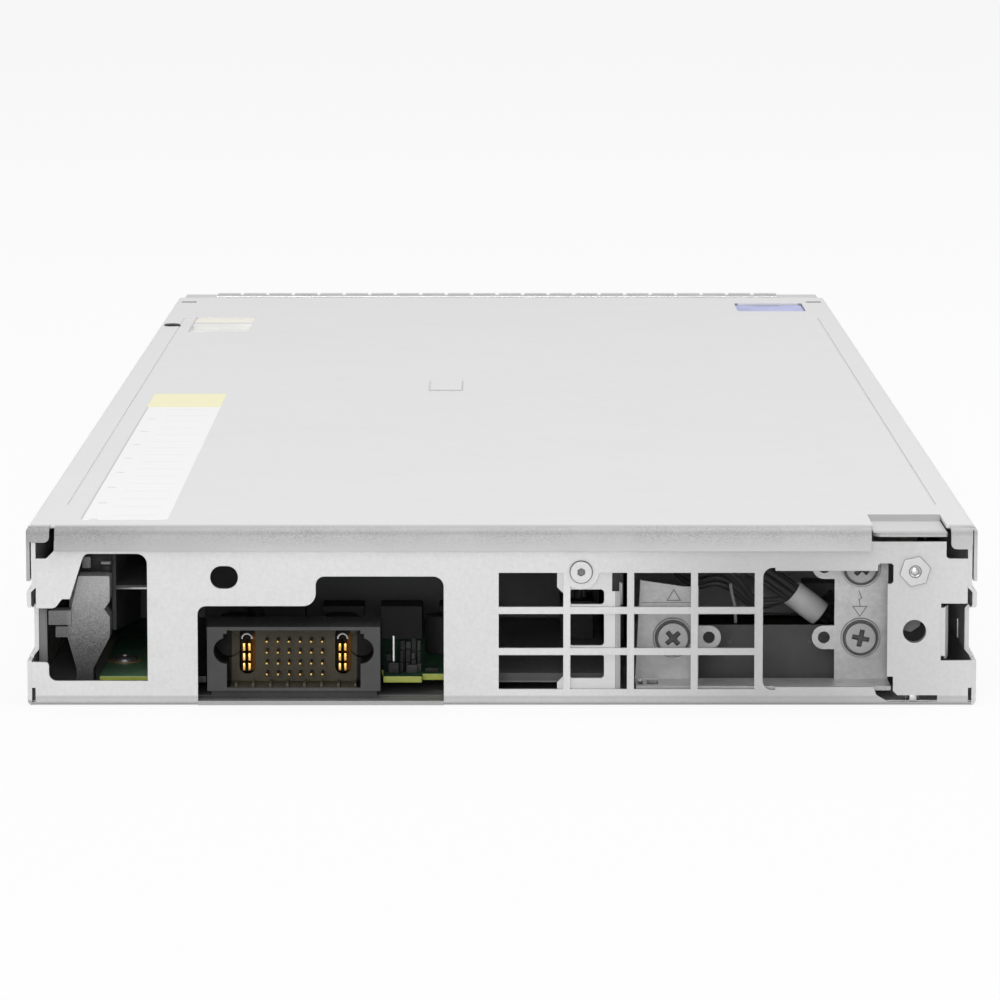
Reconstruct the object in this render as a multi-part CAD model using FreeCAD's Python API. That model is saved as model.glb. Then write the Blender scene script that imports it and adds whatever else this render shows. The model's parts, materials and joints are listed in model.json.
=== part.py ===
import FreeCAD, Part
import math
import os

# A 1U half-width server node, in millimetres, +Z up.
# Pieces are drawn with y = 0 on the outer face of the connector-end wall and y growing inwards,
# and they are moved so that the origin is under the middle of the whole node when written.

Vector = FreeCAD.Vector

# Overall sizes
WIDTH = 216.0
HEIGHT = 41.0
DEPTH = 600.0
LEVER_REACH = 26.0

# Sheet metal and clearances
SHEET = 1.0
COVER_SHEET = 0.8
RUN_GAP = 0.3
FIT_GAP = 0.1
BEND = 1.2

# Tray side walls: guide groove and the step that takes the cover skirts
GROOVE_LOW = 12.0
GROOVE_HIGH = 21.5
GROOVE_DEPTH = 1.2
GROOVE_SLOPE = 1.5
STEP_Z = 26.0
RAIL_NOTCH_LOW = 10.3
RAIL_NOTCH_HIGH = 22.5
RAIL_NOTCH_LENGTH = 6.0

# Cover
SKIRT_LOW = 28.6
LIP_LOW = 35.5
LIP_BEND = 2.2
LIP_LEFT = -101.5
LIP_RIGHT = 83.9
TAB_INSET = 0.4
TAB_ROUND = 1.25
RIGHT_TAB_WIDTH = 4.9
LEFT_TAB_LOW = 37.5
RIGHT_TAB_LOW = 36.0
TAB_SLOT = 1.2
TAB_SLOT_LENGTH = 3.5
FLAP_LEFT = 84.4
FLAP_RIGHT = 101.2
FLAP_SLOT = 0.8
FLAP_DROP = 1.4
FLAP_LENGTH = 23.0
FLAP_CORNER = 3.0
FLAP_RAMP = 1.3
COVER_SETBACK = 12.0
CREASE_X = 101.5
CREASE_START = 40.0
CREASE_SETBACK = 73.0
CREASE_DEPTH = 0.25
CREASE_WIDTH = 0.6
EMBOSS_X = -15.6
EMBOSS_Y = 305.5
EMBOSS_WIDTH = 9.0
EMBOSS_LENGTH = 27.0
EMBOSS_HEIGHT = 0.35
WINDOW_LEFT = -98.0
WINDOW_RIGHT = -79.0
WINDOW_SETBACK = 68.0
WINDOW_LENGTH = 54.0
INSERT_MARGIN = 2.0
INSERT_THICK = 1.4
INSERT_STEP = 0.8
LATCH_HOLE_X = -103.8
LATCH_HOLE_SETBACK = 98.0
LATCH_HOLE_RADIUS = 2.2
FAR_SLOT_LENGTH = 4.0
FAR_SLOT_WIDTH = 5.0
FAR_SLOT_X = 103.5
FAR_SLOT_SETBACK = 18.0
BUTTON_LEFT = 77.0
BUTTON_RIGHT = 99.3
BUTTON_SETBACK = 21.0
BUTTON_LENGTH = 29.0
BUTTON_TRAVEL = 2.0
BUTTON_RECESS = 0.6
BUTTON_RIM = 1.2
BUTTON_ROUND = 1.7
DISH_RADIUS = 150.0
DISH_DEPTH = 0.25
PAN_MARGIN = 3.0
PAN_WALL = 1.0
PAN_DEPTH = 4.0

# Connector-end wall
WALL_TOP = 37.6
WALL_FOOT_ROUND = 0.9
WALL_SHOULDER = 33.7
WALL_TOP_LEFT = -101.7
WALL_TOP_RIGHT = 101.0
WALL_SHOULDER_SLOPE = 1.8
WALL_CORNER_NOTCH = 0.8
WALL_CORNER_LOW = 0.7
WALL_CORNER_HIGH = 4.0
LEFT_WINDOW_LEFT = -103.1
LEFT_WINDOW_RIGHT = -80.6
LEFT_WINDOW_LOW = 5.6
LEFT_WINDOW_HIGH = 34.8
LEFT_TAB_TOP = 9.9
UPPER_TAB_LOW = 22.3
UPPER_TAB_RIGHT = -101.6
UPPER_LEDGE_LEFT = -100.0
UPPER_LEDGE_RIGHT = -98.2
UPPER_LEDGE_LOW = 24.4
UPPER_SLOPE_RIGHT = -94.9
SOCKET_WINDOW_LEFT = -69.2
SOCKET_WINDOW_STEP = -42.3
SOCKET_WINDOW_RIGHT = -13.2
SOCKET_WINDOW_LOW_TOP = 22.8
SOCKET_WINDOW_HIGH_TOP = 29.6
OVAL_X = -63.1
OVAL_Z = 29.4
OVAL_WIDTH = 6.3
OVAL_HEIGHT = 5.2
VENT_LEFT = -0.7
VENT_FIRST_WIDTH = 14.7
VENT_WIDTH = 12.9
VENT_HEIGHT = 7.85
VENT_LOW = 3.7
VENT_BAR = 1.6
VENT_COLUMNS = 4
VENT_ROWS = 3
RIGHT_WINDOW_LEFT = 59.4
RIGHT_WINDOW_RIGHT = 87.7
RIGHT_WINDOW_LOW = 4.2
RIGHT_WINDOW_HIGH = 30.9
RELIEF_WIDTH = 2.8
RELIEF_RISE = 0.7
RELIEF_ROUND = 2.2
EDGE_NOTCH_LEFT = 85.5
EDGE_NOTCH_RIGHT = 89.0
EDGE_NOTCH_LOW = 27.9
EDGE_NOTCH_HIGH = 32.6
EDGE_NOTCH_ROUND = 0.7
FOOT_GAP_LEFT = 84.6
FOOT_GAP_RIGHT = 99.2
FOOT_GAP_NECK = 89.1
FOOT_GAP_KNEE = 85.4
FOOT_GAP_LOW = 0.8
FOOT_GAP_HIGH = 2.3
FOOT_GAP_TOP = 6.6
RIGHT_EDGE_NOTCH = 99.9
RIGHT_NOTCH_HIGH = 23.4
RAIL_FLANGE_LENGTH = 8.0
GUIDE_X = 93.9
GUIDE_Z = 17.0
GUIDE_RADIUS = 2.65
GUIDE_COLLAR = 1.6
STANDOFF_Z = 30.8
STANDOFF_FLATS = 6.3
STANDOFF_TURN = 13
STANDOFF_PROUD = 0.6
STANDOFF_SHANK = 2.2
STANDOFF_LENGTH = 6.0
COLLAR_WALL = 0.8
M3_TAP_RADIUS = 1.25
PARTITION_SCREW_X = 18.05
PARTITION_SCREW_Z = 30.6
PARTITION_SCREW_HEAD = 2.5
PARTITION_SCREW_PAD = 4.0
PARTITION_SCREW_SHANK = 1.2
PARTITION_SCREW_LENGTH = 5.0
PARTITION_SCREW_PROUD = 0.4
PARTITION_SCREW_KEY = 1.6
PARTITION_SCREW_KEY_DEPTH = 0.6
DIMPLE_MARGIN = 0.9

# Partition between the board and the drives
PARTITION_X = 26.0
PARTITION_TOP = 38.0
PARTITION_SETBACK = 10.0
FLANGE_LEFT = 12.6
FLANGE_LOW = 2.0
FLANGE_HIGH = 33.0
FLANGE_STEP = 2.0
FLANGE_STEP_LOW = 6.1
FLANGE_STEP_HIGH = 26.0
FLANGE_WINDOW_LEFT = 15.4
FLANGE_WINDOW_RIGHT = 23.3
FLANGE_WINDOW_ROUND = 0.8
FLANGE_WINDOWS = ((6.1, 11.6), (13.6, 21.1), (23.1, 26.5))
CABLE_NOTCH_START = 44.0
CABLE_NOTCH_END = 62.0
CABLE_NOTCH_LOW = 28.0

# Connector bracket behind the right window
BRACKET_Y = 12.0
BRACKET_LEFT = 30.6
BRACKET_LEFT_ARM_END = 45.2
BRACKET_RIGHT_ARM_START = 76.4
BRACKET_RIGHT = 88.7
BRACKET_FOOT_Z = 4.2
BRACKET_LEFT_TOP = 27.1
BRACKET_RIGHT_TOP = 36.0
BRACKET_LEFT_STEP_X = 41.7
BRACKET_LEFT_STEP_Z = 25.6
BRACKET_LEFT_SLANT = 1.2
BRACKET_ROUND = 2.0
FOOT_SLOT_LEFT = 31.2
FOOT_SLOT_WIDTHS = (1.0, 2.6)
FOOT_SLOT_BAR = 1.0
FOOT_SLOT_START = 4.0
FOOT_SLOT_END = 11.0
BRACKET_SCREW_LEFT_X = 39.3
BRACKET_SCREW_RIGHT_X = 82.4
BRACKET_SCREW_LOW_Z = 13.8
BRACKET_SCREW_HIGH_Z = 30.1
EAR_REACH = 2.4
EAR_RADIUS = 2.75
EAR_HOLE = 1.37
SCREW_HEAD = 3.5
SCREW_HEAD_HEIGHT = 1.4
SCREW_SHANK = 1.9
SCREW_LENGTH = 6.0
CROSS_WIDTH = 1.0
CROSS_LENGTH = 3.9
CROSS_DEPTH = 0.9
SUPPORT_FOOT = 12.0
SUPPORT_INSET = 0.6
SUPPORT_LEFT_TOP = 24.0

# Power connector
HOUSING_LEFT = -67.2
HOUSING_RIGHT = -27.7
HOUSING_LOW = 2.9
HOUSING_HIGH = 17.7
HOUSING_FRONT = 2.0
HOUSING_BACK = 18.5
HOUSING_RIM = 0.8
HOUSING_SIDE = 4.5
HOUSING_BASE_INSET = 0.8
HOUSING_BASE_SETBACK = 2.0
CAVITY_DEPTH = 10.0
PLUG_GUIDE_RADIUS = 3.0
PLUG_GUIDE_Z = 12.2
PLUG_GUIDE_EXTRA = 2.0
KEY_WIDTH = 1.6
PIN_PITCH = 2.54
PIN_COLUMNS = 6
PIN_ROWS = 4
PIN_SIZE = 0.64
PIN_LENGTH = 5.5
PIN_DROP = 0.5
BLADE_OFFSET = 11.0
BLADE_SLOT_WIDTH = 3.6
BLADE_SLOT_HEIGHT = 10.8
BLADE_SLOT_RISE = 1.0
BLADE_SLOT_ROUND = 1.7
BLADE_SLOT_DEPTH = 3.0
BLADE_WIDTH = 0.75
BLADE_HEIGHT = 1.9
BLADE_PITCH_X = 1.25
BLADE_PITCH_Z = 2.3
BLADE_LENGTH = 6.5

# System board
BOARD_Z = 3.7
BOARD_THICK = 1.6
BOARD_LEFT = -104.0
BOARD_RIGHT = 24.0
BOARD_FRONT = 9.0
BOARD_NOTCH_X = -92.3
BOARD_NOTCH_MARGIN = 4.0
BOARD_STEP_X = -18.3
BOARD_STEP_Y = 12.7
BOARD_WIDE_LENGTH = 124.0
BOARD_WIDE_RIGHT = 103.0
BOARD_SETBACK = 6.0
BOARD_STANDOFF_XS = (-88.0, 16.0)
BOARD_STANDOFF_STARTS = (32.0, 285.0)
BOARD_STANDOFF_SETBACK = 19.0
BOARD_STANDOFF_FLATS = 6.0
HOUSING_NOTCH_GAP = 0.5
HEADER_X = -24.9
HEADER_Y = 14.0
HEADER_PIN_SIZE = 0.64
HEADER_PIN_HEIGHT = 8.6
HEADER_BASE = 2.54

# Grey guide block in the left window
BLOCK_FRONT = 5.0
BLOCK_DEPTH = 8.0
BLOCK_RIGHT = -89.5
BLOCK_TOP_LEFT = -96.6
BLOCK_TOP = 29.0
BLOCK_WAIST_LEFT = -99.2
BLOCK_WAIST_Z = 17.4
BLOCK_SHELF_LEFT = -101.9
BLOCK_SHELF_LOW = 14.9
BLOCK_FOOT_TOP = 7.6
BLOCK_KNEE_Z = 15.0
BLOCK_GROOVE_LOW = 19.6
BLOCK_GROOVE_HIGH = 23.2
BLOCK_GROOVE_DEPTH = 1.3
BLOCK_LATCH_LEFT = -103.4
BLOCK_LATCH_RIGHT = -98.3
BLOCK_LATCH_LOW = 17.9
BLOCK_LATCH_HIGH = 21.2
BLOCK_LATCH_PROUD = 1.0
BLOCK_LATCH_DEPTH = 5.0
BLOCK_FOOT_LEFT = -97.2
BLOCK_FOOT_RIGHT = -93.4

# Processors, memory and air guides
CPU_X = -40.0
CPU_YS = (206.0, 363.0)
SOCKET_LENGTH = 56.0
SOCKET_WIDTH = 52.0
SOCKET_HEIGHT = 3.7
PACKAGE_SIZE = 38.0
PACKAGE_HEIGHT = 2.2
LID_SIZE = 32.0
LID_HEIGHT = 2.5
SINK_WIDTH = 66.0
SINK_LENGTH = 100.0
SINK_BASE = 4.0
SINK_TOP = 38.4
SINK_FINS = 22
FIN_THICK = 0.8
MEMORY_PITCH = 7.0
MEMORY_PER_BANK = 4
MEMORY_GAP = 1.0
MEMORY_SOCKET_WIDTH = 6.0
MEMORY_SOCKET_LENGTH = 142.0
MEMORY_SOCKET_HEIGHT = 8.0
MEMORY_LATCH_HEIGHT = 20.0
MEMORY_LENGTH = 133.35
MEMORY_THICK = 1.3
MEMORY_HEIGHT = 30.0
MEMORY_SEAT = 2.6
MEMORY_KEY_Y = 5.0
MEMORY_KEY_WIDTH = 2.0
MEMORY_KEY_HEIGHT = 3.0
BAFFLE_THICK = 1.0
BAFFLE_START = 125.0
BAFFLE_END = 445.0
BAFFLE_TOP = 39.6
DAM_Y = 100.0
DAM_RIB_X = -89.9
DAM_SHELF_Z = 24.1
DAM_FRONT = 18.0
DAM_SHELF_WIDTH = 16.0

# Small parts on the board
INDUCTOR_SIZE = 10.0
INDUCTOR_HEIGHT = 8.0
INDUCTOR_PITCH = 14.0
INDUCTOR_COUNT = 5
INDUCTOR_X = -66.0
INDUCTOR_Y = 70.0
CAPACITOR_RADIUS = 4.0
CAPACITOR_HEIGHT = 9.0
CAPACITOR_PITCH = 24.0
CAPACITOR_COUNT = 3
CAPACITOR_X = -62.0
CAPACITOR_Y = 45.0
CHIPSET_X = -45.0
CHIPSET_SETBACK = 94.0
CHIPSET_SIZE = 40.0
CHIPSET_TOP = 20.0
CHIPSET_FINS = 9
COIN_X = -85.0
COIN_SETBACK = 104.0
COIN_RADIUS = 10.0
COIN_HEIGHT = 3.2
COIN_CUP_WALL = 2.0
COIN_CUP_HEIGHT = 3.5

# Drives in their cage
CAGE_LEFT = 29.0
CAGE_START = 92.0
CAGE_SPARE_LENGTH = 9.55
CAGE_FLOOR = 8.0
CAGE_TOP = 38.0
DRIVE_WIDTH = 69.85
DRIVE_LENGTH = 100.45
DRIVE_HEIGHT = 15.0
DRIVE_GAP = 0.6
DRIVE_SIDE_GAP = 1.575
DRIVE_SETBACK = 2.0
DRIVE_STEP_LENGTH = 8.0
DRIVE_STEP_HEIGHT = 3.0
LEDGE_LENGTH = 10.0
LEDGE_INSET = 12.0
LEDGE_REACH = 3.0
BACKPLANE_THICK = 1.6
BACKPLANE_GAP = 0.5
BACKPLANE_LEG = 8.0
BACKPLANE_DROP = 2.0

# Drive cable
CABLE_RADIUS = 2.5
SLEEVE_RADIUS = 3.1
SLEEVE_LENGTH = 9.5
PLUG_WIDTH = 14.0
PLUG_HEIGHT = 8.0
PLUG_DEPTH = 9.0
CABLE_FALL_LEFT = (59.0, 40.0, 29.0)
CABLE_FALL_RIGHT = (80.0, 42.0, 12.6)
SLEEVE_SHARE = 0.6

# Expansion riser and panel at the far end
RISER_X = 36.0
RISER_SETBACK = 20.0
RISER_LENGTH = 92.0
RISER_TOP = 37.0
RISER_SOCKET_WIDTH = 8.0
RISER_SOCKET_HEIGHT = 11.0
RISER_SOCKET_END = 3.0
RISER_SEAT = 3.0
SLOT_LEFT = 30.0
SLOT_RIGHT = 100.0
SLOT_LOW = 22.5
SLOT_HIGH = 36.5
SLOT_MARGIN = 2.5
SLOT_TAB_LENGTH = 12.0
PANEL_FOOT = 8.0
JACK_XS = (-95.0, -77.0, -59.0)
JACK_WIDTH = 15.6
JACK_HEIGHT = 13.0
JACK_LENGTH = 21.0
JACK_MOUTH_WIDTH = 11.8
JACK_MOUTH_HEIGHT = 8.0
JACK_MOUTH_DEPTH = 13.0
JACK_MOUTH_LOW = 2.4
JACK_KEY_WIDTH = 6.0
JACK_KEY_HEIGHT = 1.4
PORT_PROUD = 0.4
USB_X = -38.0
USB_WIDTH = 14.5
USB_HEIGHT = 15.4
USB_MOUTH_WIDTH = 12.4
USB_MOUTH_HEIGHT = 5.0
USB_MOUTH_DEPTH = 11.0
USB_TONGUE = 1.8
USB_TONGUE_GAP = 0.8
USB_TONGUE_INSET = 1.0
USB_TONGUE_SETBACK = 2.0
USB_MOUTH_LOW = 1.4
USB_MOUTH_PITCH = 7.4
USB_LENGTH = 17.0
VIDEO_X = -10.0
VIDEO_Z = 13.0
VIDEO_FLANGE_WIDTH = 31.0
VIDEO_FLANGE_HEIGHT = 12.5
VIDEO_SHELL_WIDTH = 17.0
VIDEO_SHELL_HEIGHT = 8.4
VIDEO_REACH = 5.0
VIDEO_MOUTH_WALL = 0.8
VIDEO_BODY_LENGTH = 12.0
VIDEO_SLANT = 1.2
VIDEO_ROUND = 1.8
LAMP_X = -24.0
LAMP_PITCH = 8.0
LAMP_COUNT = 2
LAMP_Z = 32.0
LAMP_RADIUS = 1.2
LAMP_LENGTH = 14.0
PUSH_RADIUS = 3.0
PUSH_FLANGE = 4.2
PUSH_FLANGE_THICK = 1.0
PUSH_PROUD = 1.6
PUSH_STEM = 8.0
POWER_BUTTON_X = 16.0
UID_BUTTON_X = 4.0
PUSH_Z = 32.0
HEX_FLATS = 4.2
HEX_PITCH = 5.2
HEX_LOW_Z = 6.5
HEX_ROWS = 3
HEX_COLUMNS = 7
HEX_LEFT_X = 40.0
HEX_UPPER_X = -98.0
HEX_UPPER_Z = 26.0
HEX_UPPER_ROWS = 2
HEX_UPPER_COLUMNS = 8

# Spring-finger gasket
GASKET_LEFT = -95.5
GASKET_PITCH = 8.56
GASKET_FINGERS = 22
GASKET_SLIT = 1.2
GASKET_RISE = 0.9
GASKET_STRIP = 0.3
GASKET_FOOT = 1.8
GASKET_DEPTH = 9.0
GASKET_CREST_START = 3.2
GASKET_CREST_END = 6.2

# Ejector lever
LEVER_PIN_X = 97.0
LEVER_PIN_Y = 9.0
LEVER_PIN_RADIUS = 2.0
LEVER_BARREL = 4.4
LEVER_LOW = 4.6
LEVER_HIGH = 17.4
LEVER_EAR = 1.2
LEVER_EAR_GAP = 0.4
LEVER_EAR_REACH = 14.0
LEVER_EAR_LEFT = 5.0
LEVER_EAR_RIGHT = 7.0
LEVER_EAR_ROUND = 5.0
LEVER_HEAD_RADIUS = 3.2
LEVER_ARM_END = 44.0
LEVER_TIP_X = 20.0
LEVER_THICK = 4.0
LEVER_BEND = 14.0
LEVER_TIP_ROUND = 1.2
LEVER_NOSE = 6.5
LEVER_NOSE_ROOT = 2.4
LEVER_NOSE_TIP = 1.4
GRIP_SKIN = 1.2
GRIP_START = 34.0

HALF = WIDTH / 2
TRAY_OUTER_HIGH = HALF - COVER_SHEET - RUN_GAP
WALL_LOW_EDGE = HALF - SHEET
WALL_HIGH_EDGE = TRAY_OUTER_HIGH - SHEET
COVER_UNDER = HEIGHT - COVER_SHEET
TRAY_TOP = COVER_UNDER - RUN_GAP
LIP_FRONT = -RUN_GAP - COVER_SHEET
COVER_LENGTH = DEPTH - COVER_SETBACK
CREASE_END = COVER_LENGTH - CREASE_SETBACK
WINDOW_END = COVER_LENGTH - WINDOW_SETBACK
WINDOW_START = WINDOW_END - WINDOW_LENGTH
LATCH_HOLE_Y = COVER_LENGTH - LATCH_HOLE_SETBACK
FAR_SLOT_Y = COVER_LENGTH - FAR_SLOT_SETBACK
BUTTON_END = COVER_LENGTH - BUTTON_SETBACK
BUTTON_START = BUTTON_END - BUTTON_LENGTH
BOARD_TOP = BOARD_Z + BOARD_THICK
BOARD_BACK = DEPTH - BOARD_SETBACK
BOARD_WIDE_START = BOARD_BACK - BOARD_WIDE_LENGTH
BOARD_STANDOFF_YS = BOARD_STANDOFF_STARTS + (BOARD_BACK - BOARD_STANDOFF_SETBACK,)
PARTITION_END = BOARD_WIDE_START - PARTITION_SETBACK
CHIPSET_Y = BOARD_BACK - CHIPSET_SETBACK
COIN_Y = BOARD_BACK - COIN_SETBACK
RISER_START = DEPTH - RISER_SETBACK - RISER_LENGTH
PANEL_FLANGE_START = COVER_LENGTH + 2 * RUN_GAP
BOARD_NOTCH_Y = DAM_Y - BOARD_NOTCH_MARGIN
BANK_REACH = SINK_WIDTH / 2 + 2 * BAFFLE_THICK + MEMORY_GAP + MEMORY_SOCKET_WIDTH / 2
CAGE_RIGHT = CAGE_LEFT + 2 * SHEET + DRIVE_WIDTH + 2 * DRIVE_SIDE_GAP
CAGE_LENGTH = DRIVE_SETBACK + DRIVE_LENGTH + CAGE_SPARE_LENGTH
PANEL_EDGE = HALF - GROOVE_DEPTH - SHEET
BLADE_SLOT_END = HOUSING_FRONT + CAVITY_DEPTH + BLADE_SLOT_DEPTH
SOCKET_MIDDLE = (HOUSING_LEFT + HOUSING_RIGHT) / 2
PIN_MIDDLE_Z = (HOUSING_LOW + HOUSING_HIGH) / 2 - PIN_DROP
Y_SHIFT = -(DEPTH + LEVER_REACH + LIP_FRONT) / 2


def box(x0, x1, y0, y1, z0, z1):
    """Block between two corners."""
    return Part.makeBox(x1 - x0, y1 - y0, z1 - z0, Vector(x0, y0, z0))


def rod(radius, start, end):
    """Round bar between two points."""
    run = end - start
    return Part.makeCylinder(radius, run.Length, start, run)


def rod_y(radius, x, z, y0, y1):
    """Round bar along the depth."""
    return rod(radius, Vector(x, y0, z), Vector(x, y1, z))


def rod_z(radius, x, y, z0, z1):
    """Upright round bar."""
    return rod(radius, Vector(x, y, z0), Vector(x, y, z1))


def post(x, y, size, z0, z1):
    """Upright square bar."""
    half = size / 2
    return box(x - half, x + half, y - half, y + half, z0, z1)


def fused(shapes):
    """One solid out of pieces that touch or cross."""
    return shapes[0].multiFuse(shapes[1:]).removeSplitter()


def rounded_wire(corners, place):
    """Closed outline through (u, v) corners, with an arc where a corner also has a radius."""
    points = [place(corner[0], corner[1]) for corner in corners]
    radii = [corner[2] if len(corner) > 2 else 0 for corner in corners]
    count = len(points)
    edges = []
    arcs = []
    for i in range(count):
        point = points[i]
        before = (points[i - 1] - point).normalize()
        after = (points[(i + 1) % count] - point).normalize()
        if radii[i] == 0:
            arcs.append((point, None, point))
            continue
        half_angle = before.getAngle(after) / 2
        reach = radii[i] / math.tan(half_angle)
        middle = (before + after).normalize()
        bulge = radii[i] / math.sin(half_angle) - radii[i]
        arcs.append((point + before * reach, point + middle * bulge, point + after * reach))
    for i in range(count):
        first, middle, last = arcs[i]
        if middle is not None:
            edges.append(Part.Arc(first, middle, last).toShape())
        following = arcs[(i + 1) % count][0]
        if (following - last).Length > 1e-6:
            edges.append(Part.LineSegment(last, following).toShape())
    return Part.Wire(edges)


def prism_xz(corners, y0, y1):
    """Outline drawn in the front view, thickened along the depth."""
    wire = rounded_wire(corners, lambda u, v: Vector(u, y0, v))
    return Part.Face(wire).extrude(Vector(0, y1 - y0, 0))


def prism_yz(corners, x0, x1):
    """Outline drawn in the side view, thickened across the width."""
    wire = rounded_wire(corners, lambda u, v: Vector(x0, u, v))
    return Part.Face(wire).extrude(Vector(x1 - x0, 0, 0))


def prism_xy(corners, z0, z1):
    """Outline drawn in the plan view, thickened upwards."""
    wire = rounded_wire(corners, lambda u, v: Vector(u, v, z0))
    return Part.Face(wire).extrude(Vector(0, 0, z1 - z0))


def rectangle(u0, u1, v0, v1, radius=0):
    """Four corners of a rectangle that share one radius."""
    return [(u0, v0, radius), (u1, v0, radius), (u1, v1, radius), (u0, v1, radius)]


def hexagon(u, v, flats, first=30):
    """Six corners; two flats are upright unless the first corner is turned."""
    reach = flats / math.sqrt(3)
    turns = [math.radians(first + 60 * i) for i in range(6)]
    return [(u + reach * math.cos(turn), v + reach * math.sin(turn)) for turn in turns]


def mirrored(corners):
    """Corners of the other half, in the order that closes the outline."""
    return [(-corner[0],) + tuple(corner[1:]) for corner in reversed(corners)]


def tray():
    """Folded floor and side walls with the guide grooves and the front rail notches."""
    groove = HALF - GROOVE_DEPTH
    step_top = STEP_Z + (HALF - TRAY_OUTER_HIGH)
    outer = [
        (HALF, 0, BEND),
        (HALF, GROOVE_LOW - GROOVE_SLOPE),
        (groove, GROOVE_LOW),
        (groove, GROOVE_HIGH),
        (HALF, GROOVE_HIGH + GROOVE_SLOPE),
        (HALF, STEP_Z),
        (TRAY_OUTER_HIGH, step_top),
        (TRAY_OUTER_HIGH, TRAY_TOP),
    ]
    inner = [(corner[0] - SHEET, corner[1]) for corner in reversed(outer[1:])]
    side = outer + inner + [(WALL_LOW_EDGE, SHEET, BEND - SHEET)]
    shell = prism_xz(side + mirrored(side), 0, DEPTH)
    return shell.cut([
        box(-WALL_LOW_EDGE, SOCKET_WINDOW_LEFT, 0, SHEET, 0, SHEET),
        box(SOCKET_WINDOW_RIGHT, WALL_LOW_EDGE, 0, SHEET, 0, SHEET),
        box(-HALF, -PANEL_EDGE + SHEET, 0, RAIL_NOTCH_LENGTH, RAIL_NOTCH_LOW, RAIL_NOTCH_HIGH),
        box(PANEL_EDGE - SHEET, HALF, 0, RAIL_NOTCH_LENGTH, RAIL_NOTCH_LOW, RAIL_NOTCH_HIGH),
        box(-HALF, HALF, 0, LIP_BEND, HEIGHT - LIP_BEND - RUN_GAP, HEIGHT),
    ])


def vent_edges():
    """Left and right edges of the vent columns."""
    edges = []
    left = VENT_LEFT
    for column in range(VENT_COLUMNS):
        width = VENT_FIRST_WIDTH if column == 0 else VENT_WIDTH
        edges.append((left, left + width))
        left += width + VENT_BAR
    return edges


def wall_openings():
    """Tools for everything that is punched out of the connector-end wall."""
    outside = -HALF - SHEET
    left_window = [
        (outside, LEFT_TAB_TOP),
        (LEFT_WINDOW_LEFT, LEFT_TAB_TOP, 0.8),
        (LEFT_WINDOW_LEFT, LEFT_WINDOW_LOW, 1.8),
        (LEFT_WINDOW_RIGHT, LEFT_WINDOW_LOW),
        (LEFT_WINDOW_RIGHT, LEFT_WINDOW_HIGH, 2.4),
        (UPPER_SLOPE_RIGHT, LEFT_WINDOW_HIGH, 1.6),
        (UPPER_LEDGE_RIGHT, UPPER_LEDGE_LOW),
        (UPPER_LEDGE_LEFT, UPPER_LEDGE_LOW),
        (UPPER_TAB_RIGHT, UPPER_TAB_LOW, 1.5),
        (outside, UPPER_TAB_LOW),
    ]
    socket_window = [
        (SOCKET_WINDOW_LEFT, -SHEET),
        (SOCKET_WINDOW_LEFT, SOCKET_WINDOW_LOW_TOP, 1.9),
        (SOCKET_WINDOW_STEP, SOCKET_WINDOW_LOW_TOP, 2.9),
        (SOCKET_WINDOW_STEP, SOCKET_WINDOW_HIGH_TOP, 2.0),
        (SOCKET_WINDOW_RIGHT, SOCKET_WINDOW_HIGH_TOP, 2.4),
        (SOCKET_WINDOW_RIGHT, -SHEET),
    ]
    relief_right = RIGHT_WINDOW_LEFT + RELIEF_WIDTH
    relief_low = RIGHT_WINDOW_LOW - RELIEF_RISE
    relief_high = RIGHT_WINDOW_HIGH + RELIEF_RISE
    right_window = [
        (RIGHT_WINDOW_LEFT, relief_low, RELIEF_ROUND),
        (relief_right, relief_low),
        (relief_right, RIGHT_WINDOW_LOW),
        (RIGHT_WINDOW_RIGHT, RIGHT_WINDOW_LOW),
        (RIGHT_WINDOW_RIGHT, RIGHT_WINDOW_HIGH),
        (relief_right, RIGHT_WINDOW_HIGH),
        (relief_right, relief_high),
        (RIGHT_WINDOW_LEFT, relief_high, RELIEF_ROUND),
    ]
    edge_notch = rectangle(
        EDGE_NOTCH_LEFT, EDGE_NOTCH_RIGHT, EDGE_NOTCH_LOW, EDGE_NOTCH_HIGH, EDGE_NOTCH_ROUND
    )
    foot_gap = [
        (FOOT_GAP_LEFT, RIGHT_WINDOW_LOW),
        (FOOT_GAP_KNEE, FOOT_GAP_HIGH),
        (FOOT_GAP_NECK - SHEET, FOOT_GAP_LOW),
        (FOOT_GAP_RIGHT, FOOT_GAP_LOW),
        (FOOT_GAP_RIGHT, FOOT_GAP_HIGH),
        (FOOT_GAP_NECK + SHEET, FOOT_GAP_HIGH),
        (FOOT_GAP_NECK, FOOT_GAP_HIGH + SHEET),
        (FOOT_GAP_NECK, FOOT_GAP_TOP),
        (FOOT_GAP_LEFT, FOOT_GAP_TOP),
    ]
    oval = rectangle(
        OVAL_X - OVAL_WIDTH / 2,
        OVAL_X + OVAL_WIDTH / 2,
        OVAL_Z - OVAL_HEIGHT / 2,
        OVAL_Z + OVAL_HEIGHT / 2,
        OVAL_HEIGHT / 2 - FIT_GAP,
    )
    outlines = [left_window, socket_window, right_window, edge_notch, foot_gap, oval]
    for left, right in vent_edges():
        for row in range(VENT_ROWS):
            low = VENT_LOW + row * (VENT_HEIGHT + VENT_BAR)
            outlines.append(rectangle(left, right, low, low + VENT_HEIGHT))
    return [prism_xz(outline, -SHEET, 2 * SHEET) for outline in outlines]


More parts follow.
